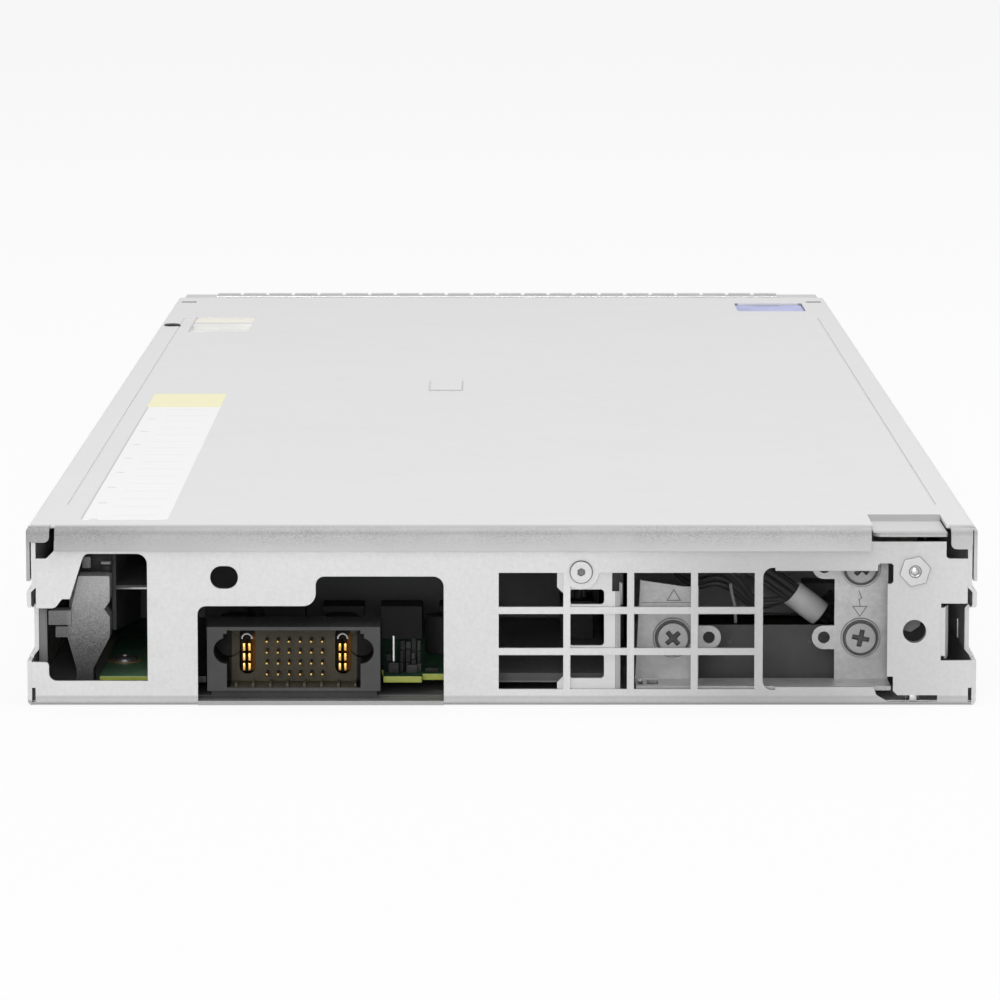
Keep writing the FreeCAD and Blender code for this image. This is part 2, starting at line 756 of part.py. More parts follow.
def front_wall():
    """Connector-end wall: windows, vent grid, guide hole with its drawn collar, and rail flange."""
    blank = [
        (-WALL_LOW_EDGE, 0),
        (WALL_LOW_EDGE, 0),
        (WALL_LOW_EDGE, RAIL_NOTCH_LOW),
        (RIGHT_EDGE_NOTCH, RAIL_NOTCH_LOW),
        (RIGHT_EDGE_NOTCH, RIGHT_NOTCH_HIGH),
        (WALL_HIGH_EDGE, RIGHT_NOTCH_HIGH),
        (WALL_HIGH_EDGE, WALL_SHOULDER),
        (WALL_TOP_RIGHT, WALL_SHOULDER, 0.8),
        (WALL_TOP_RIGHT, WALL_TOP),
        (WALL_TOP_LEFT, WALL_TOP),
        (WALL_TOP_LEFT, WALL_SHOULDER + WALL_SHOULDER_SLOPE),
        (WALL_TOP_LEFT - WALL_SHOULDER_SLOPE, WALL_SHOULDER),
        (-WALL_HIGH_EDGE, WALL_SHOULDER),
        (-WALL_HIGH_EDGE, UPPER_TAB_LOW - SHEET),
        (-WALL_LOW_EDGE, UPPER_TAB_LOW - SHEET),
    ]
    plate = prism_xz(blank, 0, SHEET).cut(wall_openings())
    flange_low = RAIL_NOTCH_LOW + SHEET
    flange_high = RIGHT_NOTCH_HIGH - SHEET
    flange_left = RIGHT_EDGE_NOTCH
    flange = box(flange_left, flange_left + SHEET, RUN_GAP, RAIL_FLANGE_LENGTH, flange_low, flange_high)
    collar = rod_y(GUIDE_RADIUS + COLLAR_WALL, GUIDE_X, GUIDE_Z, SHEET, SHEET + GUIDE_COLLAR)
    screw_pad = rod_y(PARTITION_SCREW_PAD, PARTITION_SCREW_X, PARTITION_SCREW_Z, 0, SHEET)
    plate = fused([plate, flange, collar, screw_pad])
    dimple = Part.makeCone(
        PARTITION_SCREW_HEAD + DIMPLE_MARGIN,
        PARTITION_SCREW_HEAD + 2 * FIT_GAP,
        PARTITION_SCREW_PROUD,
        Vector(PARTITION_SCREW_X, 0, PARTITION_SCREW_Z),
        Vector(0, 1, 0),
    )
    notch = WALL_LOW_EDGE - WALL_CORNER_NOTCH
    foot_corner = [
        (0, 0),
        (WALL_FOOT_ROUND, 0),
        (0, WALL_FOOT_ROUND),
    ]
    holes = [
        prism_yz(foot_corner, -WALL_LOW_EDGE, WALL_LOW_EDGE).cut(
            rod(
                WALL_FOOT_ROUND,
                Vector(-WIDTH, WALL_FOOT_ROUND, WALL_FOOT_ROUND),
                Vector(WIDTH, WALL_FOOT_ROUND, WALL_FOOT_ROUND),
            )
        ),
        rod_y(GUIDE_RADIUS, GUIDE_X, GUIDE_Z, -SHEET, SHEET + 2 * GUIDE_COLLAR),
        rod_y(STANDOFF_SHANK + FIT_GAP, GUIDE_X, STANDOFF_Z, -SHEET, 2 * SHEET),
        rod_y(PARTITION_SCREW_SHANK + FIT_GAP, PARTITION_SCREW_X, PARTITION_SCREW_Z, -SHEET, 2 * SHEET),
        dimple,
        box(-WALL_LOW_EDGE, -notch, 0, SHEET, WALL_CORNER_LOW, WALL_CORNER_HIGH),
        box(notch, WALL_LOW_EDGE, 0, SHEET, WALL_CORNER_LOW, WALL_CORNER_HIGH),
    ]
    return plate.cut(holes)


def hex_standoff():
    """Threaded insert: hexagonal head on the wall, shank through it, M3 hole right through."""
    corners = hexagon(GUIDE_X, STANDOFF_Z, STANDOFF_FLATS, STANDOFF_TURN)
    head = prism_xz(corners, -STANDOFF_PROUD, 0)
    shank = rod_y(STANDOFF_SHANK, GUIDE_X, STANDOFF_Z, 0, STANDOFF_LENGTH - STANDOFF_PROUD)
    hole = rod_y(M3_TAP_RADIUS, GUIDE_X, STANDOFF_Z, -SHEET, STANDOFF_LENGTH)
    return fused([head, shank]).cut(hole)


def top_cover():
    """Folded cover: skirts, front lip, corner tabs, joggled flap, creases and windows."""
    inner = HALF - COVER_SHEET
    section = [
        (HALF, SKIRT_LOW),
        (HALF, HEIGHT, BEND),
        (-HALF, HEIGHT, BEND),
        (-HALF, SKIRT_LOW),
        (-inner, SKIRT_LOW),
        (-inner, COVER_UNDER),
        (inner, COVER_UNDER),
        (inner, SKIRT_LOW),
    ]
    side = [
        (LIP_FRONT, SKIRT_LOW),
        (LIP_FRONT, HEIGHT, LIP_BEND),
        (COVER_LENGTH, HEIGHT),
        (COVER_LENGTH, SKIRT_LOW),
    ]
    shell = prism_xz(section, -RUN_GAP, COVER_LENGTH).common(prism_yz(side, -HALF, HALF))
    lip = prism_yz(front_bend(LIP_LOW), LIP_LEFT, LIP_RIGHT)
    right_tab_left = FLAP_RIGHT + FLAP_SLOT
    left_tab = tab(TAB_INSET - HALF, LIP_LEFT - TAB_SLOT, LEFT_TAB_LOW)
    right_tab = tab(right_tab_left, right_tab_left + RIGHT_TAB_WIDTH, RIGHT_TAB_LOW)
    emboss = prism_xy(
        rectangle(
            EMBOSS_X - EMBOSS_WIDTH / 2,
            EMBOSS_X + EMBOSS_WIDTH / 2,
            EMBOSS_Y - EMBOSS_LENGTH / 2,
            EMBOSS_Y + EMBOSS_LENGTH / 2,
        ),
        COVER_UNDER,
        HEIGHT + EMBOSS_HEIGHT,
    )
    shell = shell.cut(cover_cuts())
    return fused([shell, lip, left_tab, right_tab, emboss, flap()])


def front_bend(low):
    """Side view of the cover's front edge, folded down to a height."""
    return [
        (LIP_FRONT, low),
        (LIP_FRONT, HEIGHT, LIP_BEND),
        (LIP_BEND, HEIGHT),
        (LIP_BEND, COVER_UNDER),
        (-RUN_GAP, COVER_UNDER, LIP_BEND - COVER_SHEET),
        (-RUN_GAP, low),
    ]


def tab(left, right, low):
    """Rounded tab of the cover that covers one front corner."""
    bend_low = HEIGHT - LIP_BEND
    outline = [
        (left, bend_low),
        (left, low, TAB_ROUND),
        (right, low, TAB_ROUND),
        (right, bend_low),
    ]
    face = prism_xz(outline, LIP_FRONT, -RUN_GAP)
    return fused([face, prism_yz(front_bend(bend_low), left, right)])


def flap_cut():
    """Room for the joggled flap and the relief slot beside it."""
    slot_right = FLAP_RIGHT + FLAP_SLOT
    return fused([
        box(LIP_RIGHT, FLAP_RIGHT, LIP_FRONT, TAB_SLOT_LENGTH, LIP_LOW, HEIGHT),
        box(FLAP_LEFT, FLAP_RIGHT, LIP_FRONT, FLAP_LENGTH, LIP_LOW, HEIGHT),
        box(FLAP_RIGHT, slot_right, LIP_FRONT, TAB_SLOT_LENGTH, LIP_LOW, HEIGHT),
    ])


def flap():
    """Joggled flap at the front right: a lowered tongue with a riser up to the cover."""
    top = HEIGHT - FLAP_DROP
    ramp_end = FLAP_LENGTH - COVER_SHEET
    ramp_start = ramp_end - FLAP_RAMP
    bend_shift = COVER_SHEET / 2
    section = [
        (LIP_FRONT + RUN_GAP, top - COVER_SHEET),
        (LIP_FRONT + RUN_GAP, top),
        (ramp_start - bend_shift, top, BEND - bend_shift),
        (ramp_end - bend_shift, HEIGHT, BEND / 2),
        (FLAP_LENGTH + BEND, HEIGHT),
        (FLAP_LENGTH + BEND, COVER_UNDER),
        (ramp_end, COVER_UNDER),
        (ramp_start, top - COVER_SHEET),
    ]
    tongue = prism_yz(section, FLAP_LEFT, FLAP_RIGHT)
    plan = [
        (FLAP_LEFT, LIP_FRONT, FLAP_CORNER),
        (FLAP_RIGHT, LIP_FRONT, BEND),
        (FLAP_RIGHT, FLAP_LENGTH + BEND),
        (FLAP_LEFT, FLAP_LENGTH + BEND),
    ]
    return tongue.common(prism_xy(plan, LIP_LOW, HEIGHT))


def cover_cuts():
    """Everything that is cut out of the cover's folded blank."""
    low = COVER_UNDER - SHEET
    high = HEIGHT + SHEET
    crease = HEIGHT - CREASE_DEPTH
    button_plan = rectangle(BUTTON_LEFT, BUTTON_RIGHT, BUTTON_START, BUTTON_END, BUTTON_ROUND + RUN_GAP)
    cuts = [
        flap_cut(),
        box(LIP_LEFT - TAB_SLOT, LIP_LEFT, LIP_FRONT, TAB_SLOT_LENGTH, low, high),
        box(WINDOW_LEFT, WINDOW_RIGHT, WINDOW_START, WINDOW_END, low, high),
        prism_xy(button_plan, low, high),
        rod_z(LATCH_HOLE_RADIUS, LATCH_HOLE_X, LATCH_HOLE_Y, low, high),
    ]
    slot_end = FAR_SLOT_Y + FAR_SLOT_LENGTH
    for side in (-1, 1):
        crease_left = side * CREASE_X - CREASE_WIDTH / 2
        slot_left = side * FAR_SLOT_X - FAR_SLOT_WIDTH / 2
        cuts.append(box(crease_left, crease_left + CREASE_WIDTH, CREASE_START, CREASE_END, crease, high))
        cuts.append(box(slot_left, slot_left + FAR_SLOT_WIDTH, FAR_SLOT_Y, slot_end, low, high))
    return cuts


def window_insert():
    """Cream plate that closes the cover's far-left window from below."""
    margin = INSERT_MARGIN
    plate = box(
        WINDOW_LEFT - margin, WINDOW_RIGHT + margin,
        WINDOW_START - margin, WINDOW_END + margin,
        COVER_UNDER - INSERT_THICK, COVER_UNDER,
    )
    step = box(
        WINDOW_LEFT, WINDOW_RIGHT,
        WINDOW_START, (WINDOW_START + WINDOW_END) / 2,
        COVER_UNDER - INSERT_STEP, COVER_UNDER,
    )
    return plate.cut(step)


def cover_latch_pan():
    """Dish under the cover that holds the blue touch point."""
    floor_z = COVER_UNDER - BUTTON_TRAVEL - PAN_DEPTH
    margin = PAN_MARGIN
    outer = box(
        BUTTON_LEFT - margin, BUTTON_RIGHT + margin,
        BUTTON_START - margin, BUTTON_END + margin,
        floor_z, COVER_UNDER,
    )
    inset = margin - PAN_WALL
    inner = box(
        BUTTON_LEFT - inset, BUTTON_RIGHT + inset,
        BUTTON_START - inset, BUTTON_END + inset,
        floor_z + PAN_WALL, HEIGHT,
    )
    return outer.cut(inner)


def cover_button():
    """Blue touch point: a dished pad with a rim that stays under the cover."""
    gap = RUN_GAP
    top = HEIGHT - BUTTON_RECESS
    low = COVER_UNDER - RUN_GAP - BUTTON_RIM
    pad_plan = rectangle(
        BUTTON_LEFT + gap, BUTTON_RIGHT - gap, BUTTON_START + gap, BUTTON_END - gap, BUTTON_ROUND
    )
    rim_reach = PAN_MARGIN - PAN_WALL - RUN_GAP
    rim = box(
        BUTTON_LEFT - rim_reach, BUTTON_RIGHT + rim_reach,
        BUTTON_START - rim_reach, BUTTON_END + rim_reach,
        low, COVER_UNDER - RUN_GAP,
    )
    dish_middle = Vector((BUTTON_LEFT + BUTTON_RIGHT) / 2, BUTTON_START, top + DISH_RADIUS - DISH_DEPTH)
    dish = Part.makeCylinder(DISH_RADIUS, BUTTON_END - BUTTON_START, dish_middle, Vector(0, 1, 0))
    return fused([prism_xy(pad_plan, low, top), rim]).cut(dish)


def partition_wall():
    """Long upright sheet with a windowed flange behind the vent grid."""
    inner = PARTITION_X + SHEET
    side = [
        (SHEET, SHEET),
        (PARTITION_END, SHEET),
        (PARTITION_END, PARTITION_TOP, 6.0),
        (CABLE_NOTCH_END, PARTITION_TOP, 1.0),
        (CABLE_NOTCH_END, CABLE_NOTCH_LOW, 2.0),
        (CABLE_NOTCH_START, CABLE_NOTCH_LOW, 2.0),
        (CABLE_NOTCH_START, PARTITION_TOP, 1.0),
        (SHEET, PARTITION_TOP),
    ]
    web = prism_yz(side, PARTITION_X, inner)
    edge = FLANGE_LEFT + FLANGE_STEP
    face = [
        (FLANGE_LEFT, FLANGE_LOW),
        (inner, FLANGE_LOW),
        (inner, FLANGE_HIGH),
        (FLANGE_LEFT, FLANGE_HIGH),
        (FLANGE_LEFT, FLANGE_STEP_HIGH + SHEET),
        (edge, FLANGE_STEP_HIGH - SHEET),
        (edge, FLANGE_STEP_LOW + SHEET),
        (FLANGE_LEFT, FLANGE_STEP_LOW - SHEET),
    ]
    flange = prism_xz(face, SHEET, 2 * SHEET)
    cuts = [rod_y(PARTITION_SCREW_SHANK + FIT_GAP, PARTITION_SCREW_X, PARTITION_SCREW_Z, 0, 3 * SHEET)]
    for low, high in FLANGE_WINDOWS:
        window = rectangle(FLANGE_WINDOW_LEFT, FLANGE_WINDOW_RIGHT, low, high, FLANGE_WINDOW_ROUND)
        cuts.append(prism_xz(window, 0, 3 * SHEET))
    return fused([web, flange]).cut(cuts)


def cross_recess(x, z, face_y, turn):
    """Cross-shaped driver recess, cut into a screw head from its face."""
    arms = []
    for angle in (turn, turn + 90):
        half = CROSS_LENGTH / 2
        width = CROSS_WIDTH / 2
        arm = box(-half, half, face_y, face_y + CROSS_DEPTH, -width, width)
        arm.rotate(Vector(0, 0, 0), Vector(0, 1, 0), angle)
        arm.translate(Vector(x, 0, z))
        arms.append(arm)
    return arms


def partition_screw():
    """Low round-headed screw that holds the partition flange to the wall."""
    x = PARTITION_SCREW_X
    z = PARTITION_SCREW_Z
    proud = PARTITION_SCREW_PROUD
    head = rod_y(PARTITION_SCREW_HEAD, x, z, -proud, proud)
    shank = rod_y(PARTITION_SCREW_SHANK, x, z, proud, PARTITION_SCREW_LENGTH)
    key = prism_xz(hexagon(x, z, PARTITION_SCREW_KEY), -proud, PARTITION_SCREW_KEY_DEPTH - proud)
    return fused([head, shank]).cut(key)


def bracket_screw_places():
    """Centres of the bracket's screws and the turn of each cross recess."""
    return (
        (BRACKET_SCREW_LEFT_X, BRACKET_SCREW_LOW_Z, 48.0),
        (BRACKET_SCREW_RIGHT_X, BRACKET_SCREW_LOW_Z, 12.0),
        (BRACKET_SCREW_RIGHT_X, BRACKET_SCREW_HIGH_Z, 40.0),
    )


def connector_bracket():
    """Two arms with drilled ears, joined by a foot that reaches to the wall."""
    back = BRACKET_Y + SHEET
    left_arm = [
        (BRACKET_LEFT, BRACKET_FOOT_Z - SHEET),
        (BRACKET_LEFT_ARM_END, BRACKET_FOOT_Z - SHEET),
        (BRACKET_LEFT_ARM_END, BRACKET_LEFT_STEP_Z),
        (BRACKET_LEFT_STEP_X, BRACKET_LEFT_STEP_Z),
        (BRACKET_LEFT + BRACKET_LEFT_SLANT, BRACKET_LEFT_TOP),
    ]
    right_arm = [
        (BRACKET_RIGHT_ARM_START, BRACKET_FOOT_Z - SHEET),
        (BRACKET_RIGHT, BRACKET_FOOT_Z - SHEET),
        (BRACKET_RIGHT, BRACKET_RIGHT_TOP, BRACKET_ROUND),
        (BRACKET_RIGHT_ARM_START, BRACKET_RIGHT_TOP, BRACKET_ROUND),
    ]
    foot = box(BRACKET_LEFT, BRACKET_RIGHT, SHEET + RUN_GAP, back, BRACKET_FOOT_Z - SHEET, BRACKET_FOOT_Z)
    pieces = [prism_xz(left_arm, BRACKET_Y, back), prism_xz(right_arm, BRACKET_Y, back), foot]
    holes = []
    slot_left = FOOT_SLOT_LEFT
    for width in FOOT_SLOT_WIDTHS:
        slot_right = slot_left + width
        holes.append(box(slot_left, slot_right, FOOT_SLOT_START, FOOT_SLOT_END, 0, BRACKET_FOOT_Z + SHEET))
        slot_left = slot_right + FOOT_SLOT_BAR
    ears = (
        (BRACKET_LEFT_ARM_END + EAR_REACH, BRACKET_SCREW_LOW_Z, BRACKET_LEFT_ARM_END),
        (BRACKET_RIGHT_ARM_START - EAR_REACH, BRACKET_SCREW_LOW_Z, BRACKET_RIGHT_ARM_START),
        (BRACKET_RIGHT_ARM_START - EAR_REACH, BRACKET_SCREW_HIGH_Z, BRACKET_RIGHT_ARM_START),
    )
    for x, z, root in ears:
        pieces.append(rod_y(EAR_RADIUS, x, z, BRACKET_Y, back))
        pieces.append(box(min(x, root), max(x, root), BRACKET_Y, back, z - EAR_RADIUS, z + EAR_RADIUS))
        holes.append(rod_y(EAR_HOLE, x, z, BRACKET_Y - SHEET, back + SHEET))
    for x, z, _ in bracket_screw_places():
        holes.append(rod_y(SCREW_SHANK + FIT_GAP, x, z, BRACKET_Y - SHEET, back + SHEET))
    return fused(pieces).cut(holes)


def bracket_support():
    """Two angle plates that stand on the floor and carry the bracket's arms."""
    front = BRACKET_Y + SHEET
    inset = SUPPORT_INSET
    sides = (
        (BRACKET_LEFT + BRACKET_LEFT_SLANT + inset, BRACKET_LEFT_ARM_END - inset, SUPPORT_LEFT_TOP),
        (BRACKET_RIGHT_ARM_START + inset, BRACKET_RIGHT - inset, BRACKET_RIGHT_TOP - SHEET),
    )
    holes = []
    for x, z, _ in bracket_screw_places():
        holes.append(rod_y(SCREW_SHANK + FIT_GAP, x, z, front, front + 3 * SHEET))
    plates = []
    for left, right, top in sides:
        section = [
            (front, SHEET),
            (front + SUPPORT_FOOT, SHEET),
            (front + SUPPORT_FOOT, 2 * SHEET),
            (front + SHEET, 2 * SHEET),
            (front + SHEET, top),
            (front, top),
        ]
        plates.append(prism_yz(section, left, right).cut(holes))
    return plates


def bracket_screws():
    """Cross-recessed screws that hold the bracket to its supports."""
    screws = []
    for x, z, turn in bracket_screw_places():
        face = BRACKET_Y - SCREW_HEAD_HEIGHT
        head = rod_y(SCREW_HEAD, x, z, face, BRACKET_Y)
        shank = rod_y(SCREW_SHANK, x, z, BRACKET_Y, BRACKET_Y + SCREW_LENGTH)
        screws.append(fused([head, shank]).cut(cross_recess(x, z, face, turn)))
    return screws


def blade_slot_middles():
    """Centres, across the width, of the two groups of power blades."""
    return (SOCKET_MIDDLE - BLADE_OFFSET, SOCKET_MIDDLE + BLADE_OFFSET)


def power_connector_housing():
    """Moulded socket: open shroud, two guide holes with key slots, and two blade slots."""
    body = box(HOUSING_LEFT, HOUSING_RIGHT, HOUSING_FRONT, HOUSING_BACK, HOUSING_LOW, HOUSING_HIGH)
    base = box(
        HOUSING_LEFT + HOUSING_BASE_INSET, HOUSING_RIGHT - HOUSING_BASE_INSET,
        HOUSING_FRONT + HOUSING_BASE_SETBACK, HOUSING_BACK,
        SHEET, HOUSING_LOW,
    )
    left = HOUSING_LEFT + HOUSING_SIDE
    right = HOUSING_RIGHT - HOUSING_SIDE
    floor_y = HOUSING_FRONT + CAVITY_DEPTH
    cuts = [box(left, right, 0, floor_y, HOUSING_LOW + HOUSING_RIM, HOUSING_HIGH - HOUSING_RIM)]
    for side, x in ((-1, left), (1, right)):
        cuts.append(rod_y(PLUG_GUIDE_RADIUS, x, PLUG_GUIDE_Z, 0, floor_y + PLUG_GUIDE_EXTRA))
        key = sorted((x, x + side * KEY_WIDTH / 2))
        cuts.append(box(key[0], key[1], 0, floor_y, PLUG_GUIDE_Z, HOUSING_HIGH - 2 * HOUSING_RIM))
    for x in blade_slot_middles():
        slot = rectangle(
            x - BLADE_SLOT_WIDTH / 2,
            x + BLADE_SLOT_WIDTH / 2,
            PIN_MIDDLE_Z + BLADE_SLOT_RISE - BLADE_SLOT_HEIGHT / 2,
            PIN_MIDDLE_Z + BLADE_SLOT_RISE + BLADE_SLOT_HEIGHT / 2,
            BLADE_SLOT_ROUND,
        )
        cuts.append(prism_xz(slot, floor_y, BLADE_SLOT_END))
    return fused([body, base]).cut(cuts)


def power_contacts():
    """Gold power blades, two columns of three in each slot."""
    blades = []
    for middle in blade_slot_middles():
        for column in (-0.5, 0.5):
            for row in (-1, 0, 1):
                x = middle + column * BLADE_PITCH_X
                z = PIN_MIDDLE_Z + row * BLADE_PITCH_Z
                half_x = BLADE_WIDTH / 2
                half_z = BLADE_HEIGHT / 2
                front = BLADE_SLOT_END - BLADE_LENGTH
                blades.append(box(x - half_x, x + half_x, front, BLADE_SLOT_END, z - half_z, z + half_z))
    return blades


def signal_pins():
    """Square signal pins with pointed tips, on the socket's floor."""
    pins = []
    floor_y = HOUSING_FRONT + CAVITY_DEPTH
    for column in range(PIN_COLUMNS):
        for row in range(PIN_ROWS):
            x = SOCKET_MIDDLE + (column - (PIN_COLUMNS - 1) / 2) * PIN_PITCH
            z = PIN_MIDDLE_Z + (row - (PIN_ROWS - 1) / 2) * PIN_PITCH
            half = PIN_SIZE / 2
            tip = floor_y - PIN_LENGTH
            pins.append(box(x - half, x + half, tip, floor_y, z - half, z + half))
    return pins


def board_standoff_places():
    """Where the pillars stand under the system board."""
    return [(x, y) for x in BOARD_STANDOFF_XS for y in BOARD_STANDOFF_YS]


def system_board():
    """Board with a stepped front edge around the socket and a wide far end."""
    notch = HOUSING_NOTCH_GAP
    plan = [
        (BOARD_LEFT, BOARD_NOTCH_Y),
        (BOARD_NOTCH_X, BOARD_NOTCH_Y),
        (BOARD_NOTCH_X, BOARD_FRONT),
        (HOUSING_LEFT - notch, BOARD_FRONT),
        (HOUSING_LEFT - notch, HOUSING_BACK),
        (HOUSING_RIGHT + notch, HOUSING_BACK),
        (HOUSING_RIGHT + notch, BOARD_FRONT),
        (BOARD_STEP_X, BOARD_FRONT),
        (BOARD_STEP_X, BOARD_STEP_Y),
        (BOARD_RIGHT, BOARD_STEP_Y),
        (BOARD_RIGHT, BOARD_WIDE_START),
        (BOARD_WIDE_RIGHT, BOARD_WIDE_START),
        (BOARD_WIDE_RIGHT, BOARD_BACK),
        (BOARD_LEFT, BOARD_BACK),
    ]
    return prism_xy(plan, BOARD_Z, BOARD_TOP)


def board_standoffs():
    """Hexagonal pillars on the floor, under the board."""
    pillars = []
    for x, y in board_standoff_places():
        pillars.append(prism_xy(hexagon(x, y, BOARD_STANDOFF_FLATS), SHEET, BOARD_Z))
    return pillars


def header_base():
    """Plastic base of the upright pin beside the socket."""
    return post(HEADER_X, HEADER_Y, HEADER_BASE, BOARD_TOP, BOARD_TOP + HEADER_BASE)


def header_pin():
    """Bright upright pin on its base."""
    return post(HEADER_X, HEADER_Y, HEADER_PIN_SIZE, BOARD_TOP + HEADER_BASE, BOARD_TOP + HEADER_PIN_HEIGHT)


def guide_block():
    """Grey moulded guide that stands on the floor in the left window."""
    outline = [
        (BLOCK_TOP_LEFT, BLOCK_TOP),
        (BLOCK_WAIST_LEFT, BLOCK_WAIST_Z),
        (BLOCK_SHELF_LEFT, BLOCK_WAIST_Z),
        (BLOCK_SHELF_LEFT, BLOCK_SHELF_LOW),
        (BLOCK_WAIST_LEFT, BLOCK_SHELF_LOW),
        (BLOCK_FOOT_LEFT, BLOCK_FOOT_TOP),
        (BLOCK_FOOT_LEFT, SHEET),
        (BLOCK_FOOT_RIGHT, SHEET),
        (BLOCK_FOOT_RIGHT, BLOCK_FOOT_TOP),
        (BLOCK_RIGHT, BLOCK_KNEE_Z, 1.5),
        (BLOCK_RIGHT, BLOCK_GROOVE_LOW, 1.0),
        (BLOCK_RIGHT - BLOCK_GROOVE_DEPTH, (BLOCK_GROOVE_LOW + BLOCK_GROOVE_HIGH) / 2),
        (BLOCK_RIGHT, BLOCK_GROOVE_HIGH, 0.6),
        (BLOCK_RIGHT, BLOCK_TOP, 0.5),
    ]
    body = prism_xz(outline, BLOCK_FRONT, BLOCK_FRONT + BLOCK_DEPTH)
    latch_front = BLOCK_FRONT - BLOCK_LATCH_PROUD
    latch_back = latch_front + BLOCK_LATCH_DEPTH
    latch = box(
        BLOCK_LATCH_LEFT, BLOCK_LATCH_RIGHT, latch_front, latch_back, BLOCK_LATCH_LOW, BLOCK_LATCH_HIGH
    )
    return fused([body, latch])


def cpu_sockets():
    """Socket frames with a pocket for the processor."""
    sockets = []
    for y in CPU_YS:
        frame = box(
            CPU_X - SOCKET_WIDTH / 2, CPU_X + SOCKET_WIDTH / 2,
            y - SOCKET_LENGTH / 2, y + SOCKET_LENGTH / 2,
            BOARD_TOP, BOARD_TOP + SOCKET_HEIGHT,
        )
        sockets.append(frame.cut(post(CPU_X, y, PACKAGE_SIZE + 4 * FIT_GAP, BOARD_TOP + SHEET, HEIGHT)))
    return sockets


def processors():
    """Processor packages with their metal lids."""
    chips = []
    low = BOARD_TOP + SHEET
    top = low + PACKAGE_HEIGHT
    for y in CPU_YS:
        package = post(CPU_X, y, PACKAGE_SIZE, low, top)
        lid = post(CPU_X, y, LID_SIZE, top, top + LID_HEIGHT)
        chips.append(fused([package, lid]))
    return chips


def finned_block(x, y, width, length, low, base, top, fins):
    """Extruded heat sink with its fins along the depth."""
    pitch = (width - FIN_THICK) / (fins - 1)
    left = x - width / 2
    comb = [(left + width, low), (left, low)]
    for i in range(fins):
        start = left + i * pitch
        comb.append((start, base if i else top))
        if i:
            comb.append((start, top))
        comb.append((start + FIN_THICK, top))
        if i < fins - 1:
            comb.append((start + FIN_THICK, base))
    return prism_xz(comb, y - length / 2, y + length / 2)


def processor_heatsink(y):
    """Finned sink that stands on one processor's lid."""
    low = BOARD_TOP + SHEET + PACKAGE_HEIGHT + LID_HEIGHT
    return finned_block(CPU_X, y, SINK_WIDTH, SINK_LENGTH, low, low + SINK_BASE, SINK_TOP, SINK_FINS)


def memory_places():
    """Middle of every memory socket, in plan."""
    places = []
    for y in CPU_YS:
        for side in (-1, 1):
            for i in range(MEMORY_PER_BANK):
                places.append((CPU_X + side * (BANK_REACH + i * MEMORY_PITCH), y))
    return places


def memory_sockets():
    """Long sockets with a latch post at each end."""
    sockets = []
    for x, y in memory_places():
        half = MEMORY_SOCKET_LENGTH / 2
        seat = MEMORY_LENGTH / 2 + FIT_GAP
        low = BOARD_TOP + MEMORY_SOCKET_HEIGHT
        high = BOARD_TOP + MEMORY_LATCH_HEIGHT
        side = [
            (y - half, BOARD_TOP),
            (y + half, BOARD_TOP),
            (y + half, high),
            (y + seat, high),
            (y + seat, low),
            (y - seat, low),
            (y - seat, high),
            (y - half, high),
        ]
        body = prism_yz(side, x - MEMORY_SOCKET_WIDTH / 2, x + MEMORY_SOCKET_WIDTH / 2)
        groove = MEMORY_THICK / 2 + FIT_GAP
        slot = box(x - groove, x + groove, y - seat, y + seat, BOARD_TOP + MEMORY_SEAT, HEIGHT)
        sockets.append(body.cut(slot))
    return sockets


def memory_modules():
    """Memory boards with a key notch, upright in their sockets."""
    modules = []
    low = BOARD_TOP + MEMORY_SEAT
    for x, y in memory_places():
        half = MEMORY_LENGTH / 2
        key = y + MEMORY_KEY_Y
        side = [
            (y - half, low),
            (key, low),
            (key, low + MEMORY_KEY_HEIGHT),
            (key + MEMORY_KEY_WIDTH, low + MEMORY_KEY_HEIGHT),
            (key + MEMORY_KEY_WIDTH, low),
            (y + half, low),
            (y + half, low + MEMORY_HEIGHT),
            (y - half, low + MEMORY_HEIGHT),
        ]
        modules.append(prism_yz(side, x - MEMORY_THICK / 2, x + MEMORY_THICK / 2))
    return modules


def air_baffle():
    """Moulded tunnel over the two heat sinks, standing on the board."""
    reach = SINK_WIDTH / 2 + BAFFLE_THICK
    wide = reach + BAFFLE_THICK
    outer = box(CPU_X - wide, CPU_X + wide, BAFFLE_START, BAFFLE_END, BOARD_TOP, BAFFLE_TOP)
    inner = box(CPU_X - reach, CPU_X + reach, BAFFLE_START, BAFFLE_END, BOARD_TOP, BAFFLE_TOP - BAFFLE_THICK)
    return outer.cut(inner)


def front_baffle():
    """Black air dam behind the windows, with a rib and a shelf towards the left window."""
    dam = box(BOARD_LEFT, BOARD_RIGHT, DAM_Y, DAM_Y + BAFFLE_THICK, BOARD_TOP, BAFFLE_TOP)
    rib = box(DAM_RIB_X, DAM_RIB_X + BAFFLE_THICK, DAM_FRONT, DAM_Y, BOARD_TOP, BAFFLE_TOP)
    shelf_right = DAM_RIB_X + DAM_SHELF_WIDTH
    shelf = box(DAM_RIB_X, shelf_right, DAM_FRONT, DAM_Y, DAM_SHELF_Z, DAM_SHELF_Z + BAFFLE_THICK)
    return fused([dam, rib, shelf])


def power_inductors():
    """Row of square chokes behind the socket."""
    chokes = []
    for i in range(INDUCTOR_COUNT):
        x = INDUCTOR_X + i * INDUCTOR_PITCH
        chokes.append(post(x, INDUCTOR_Y, INDUCTOR_SIZE, BOARD_TOP, BOARD_TOP + INDUCTOR_HEIGHT))
    return chokes


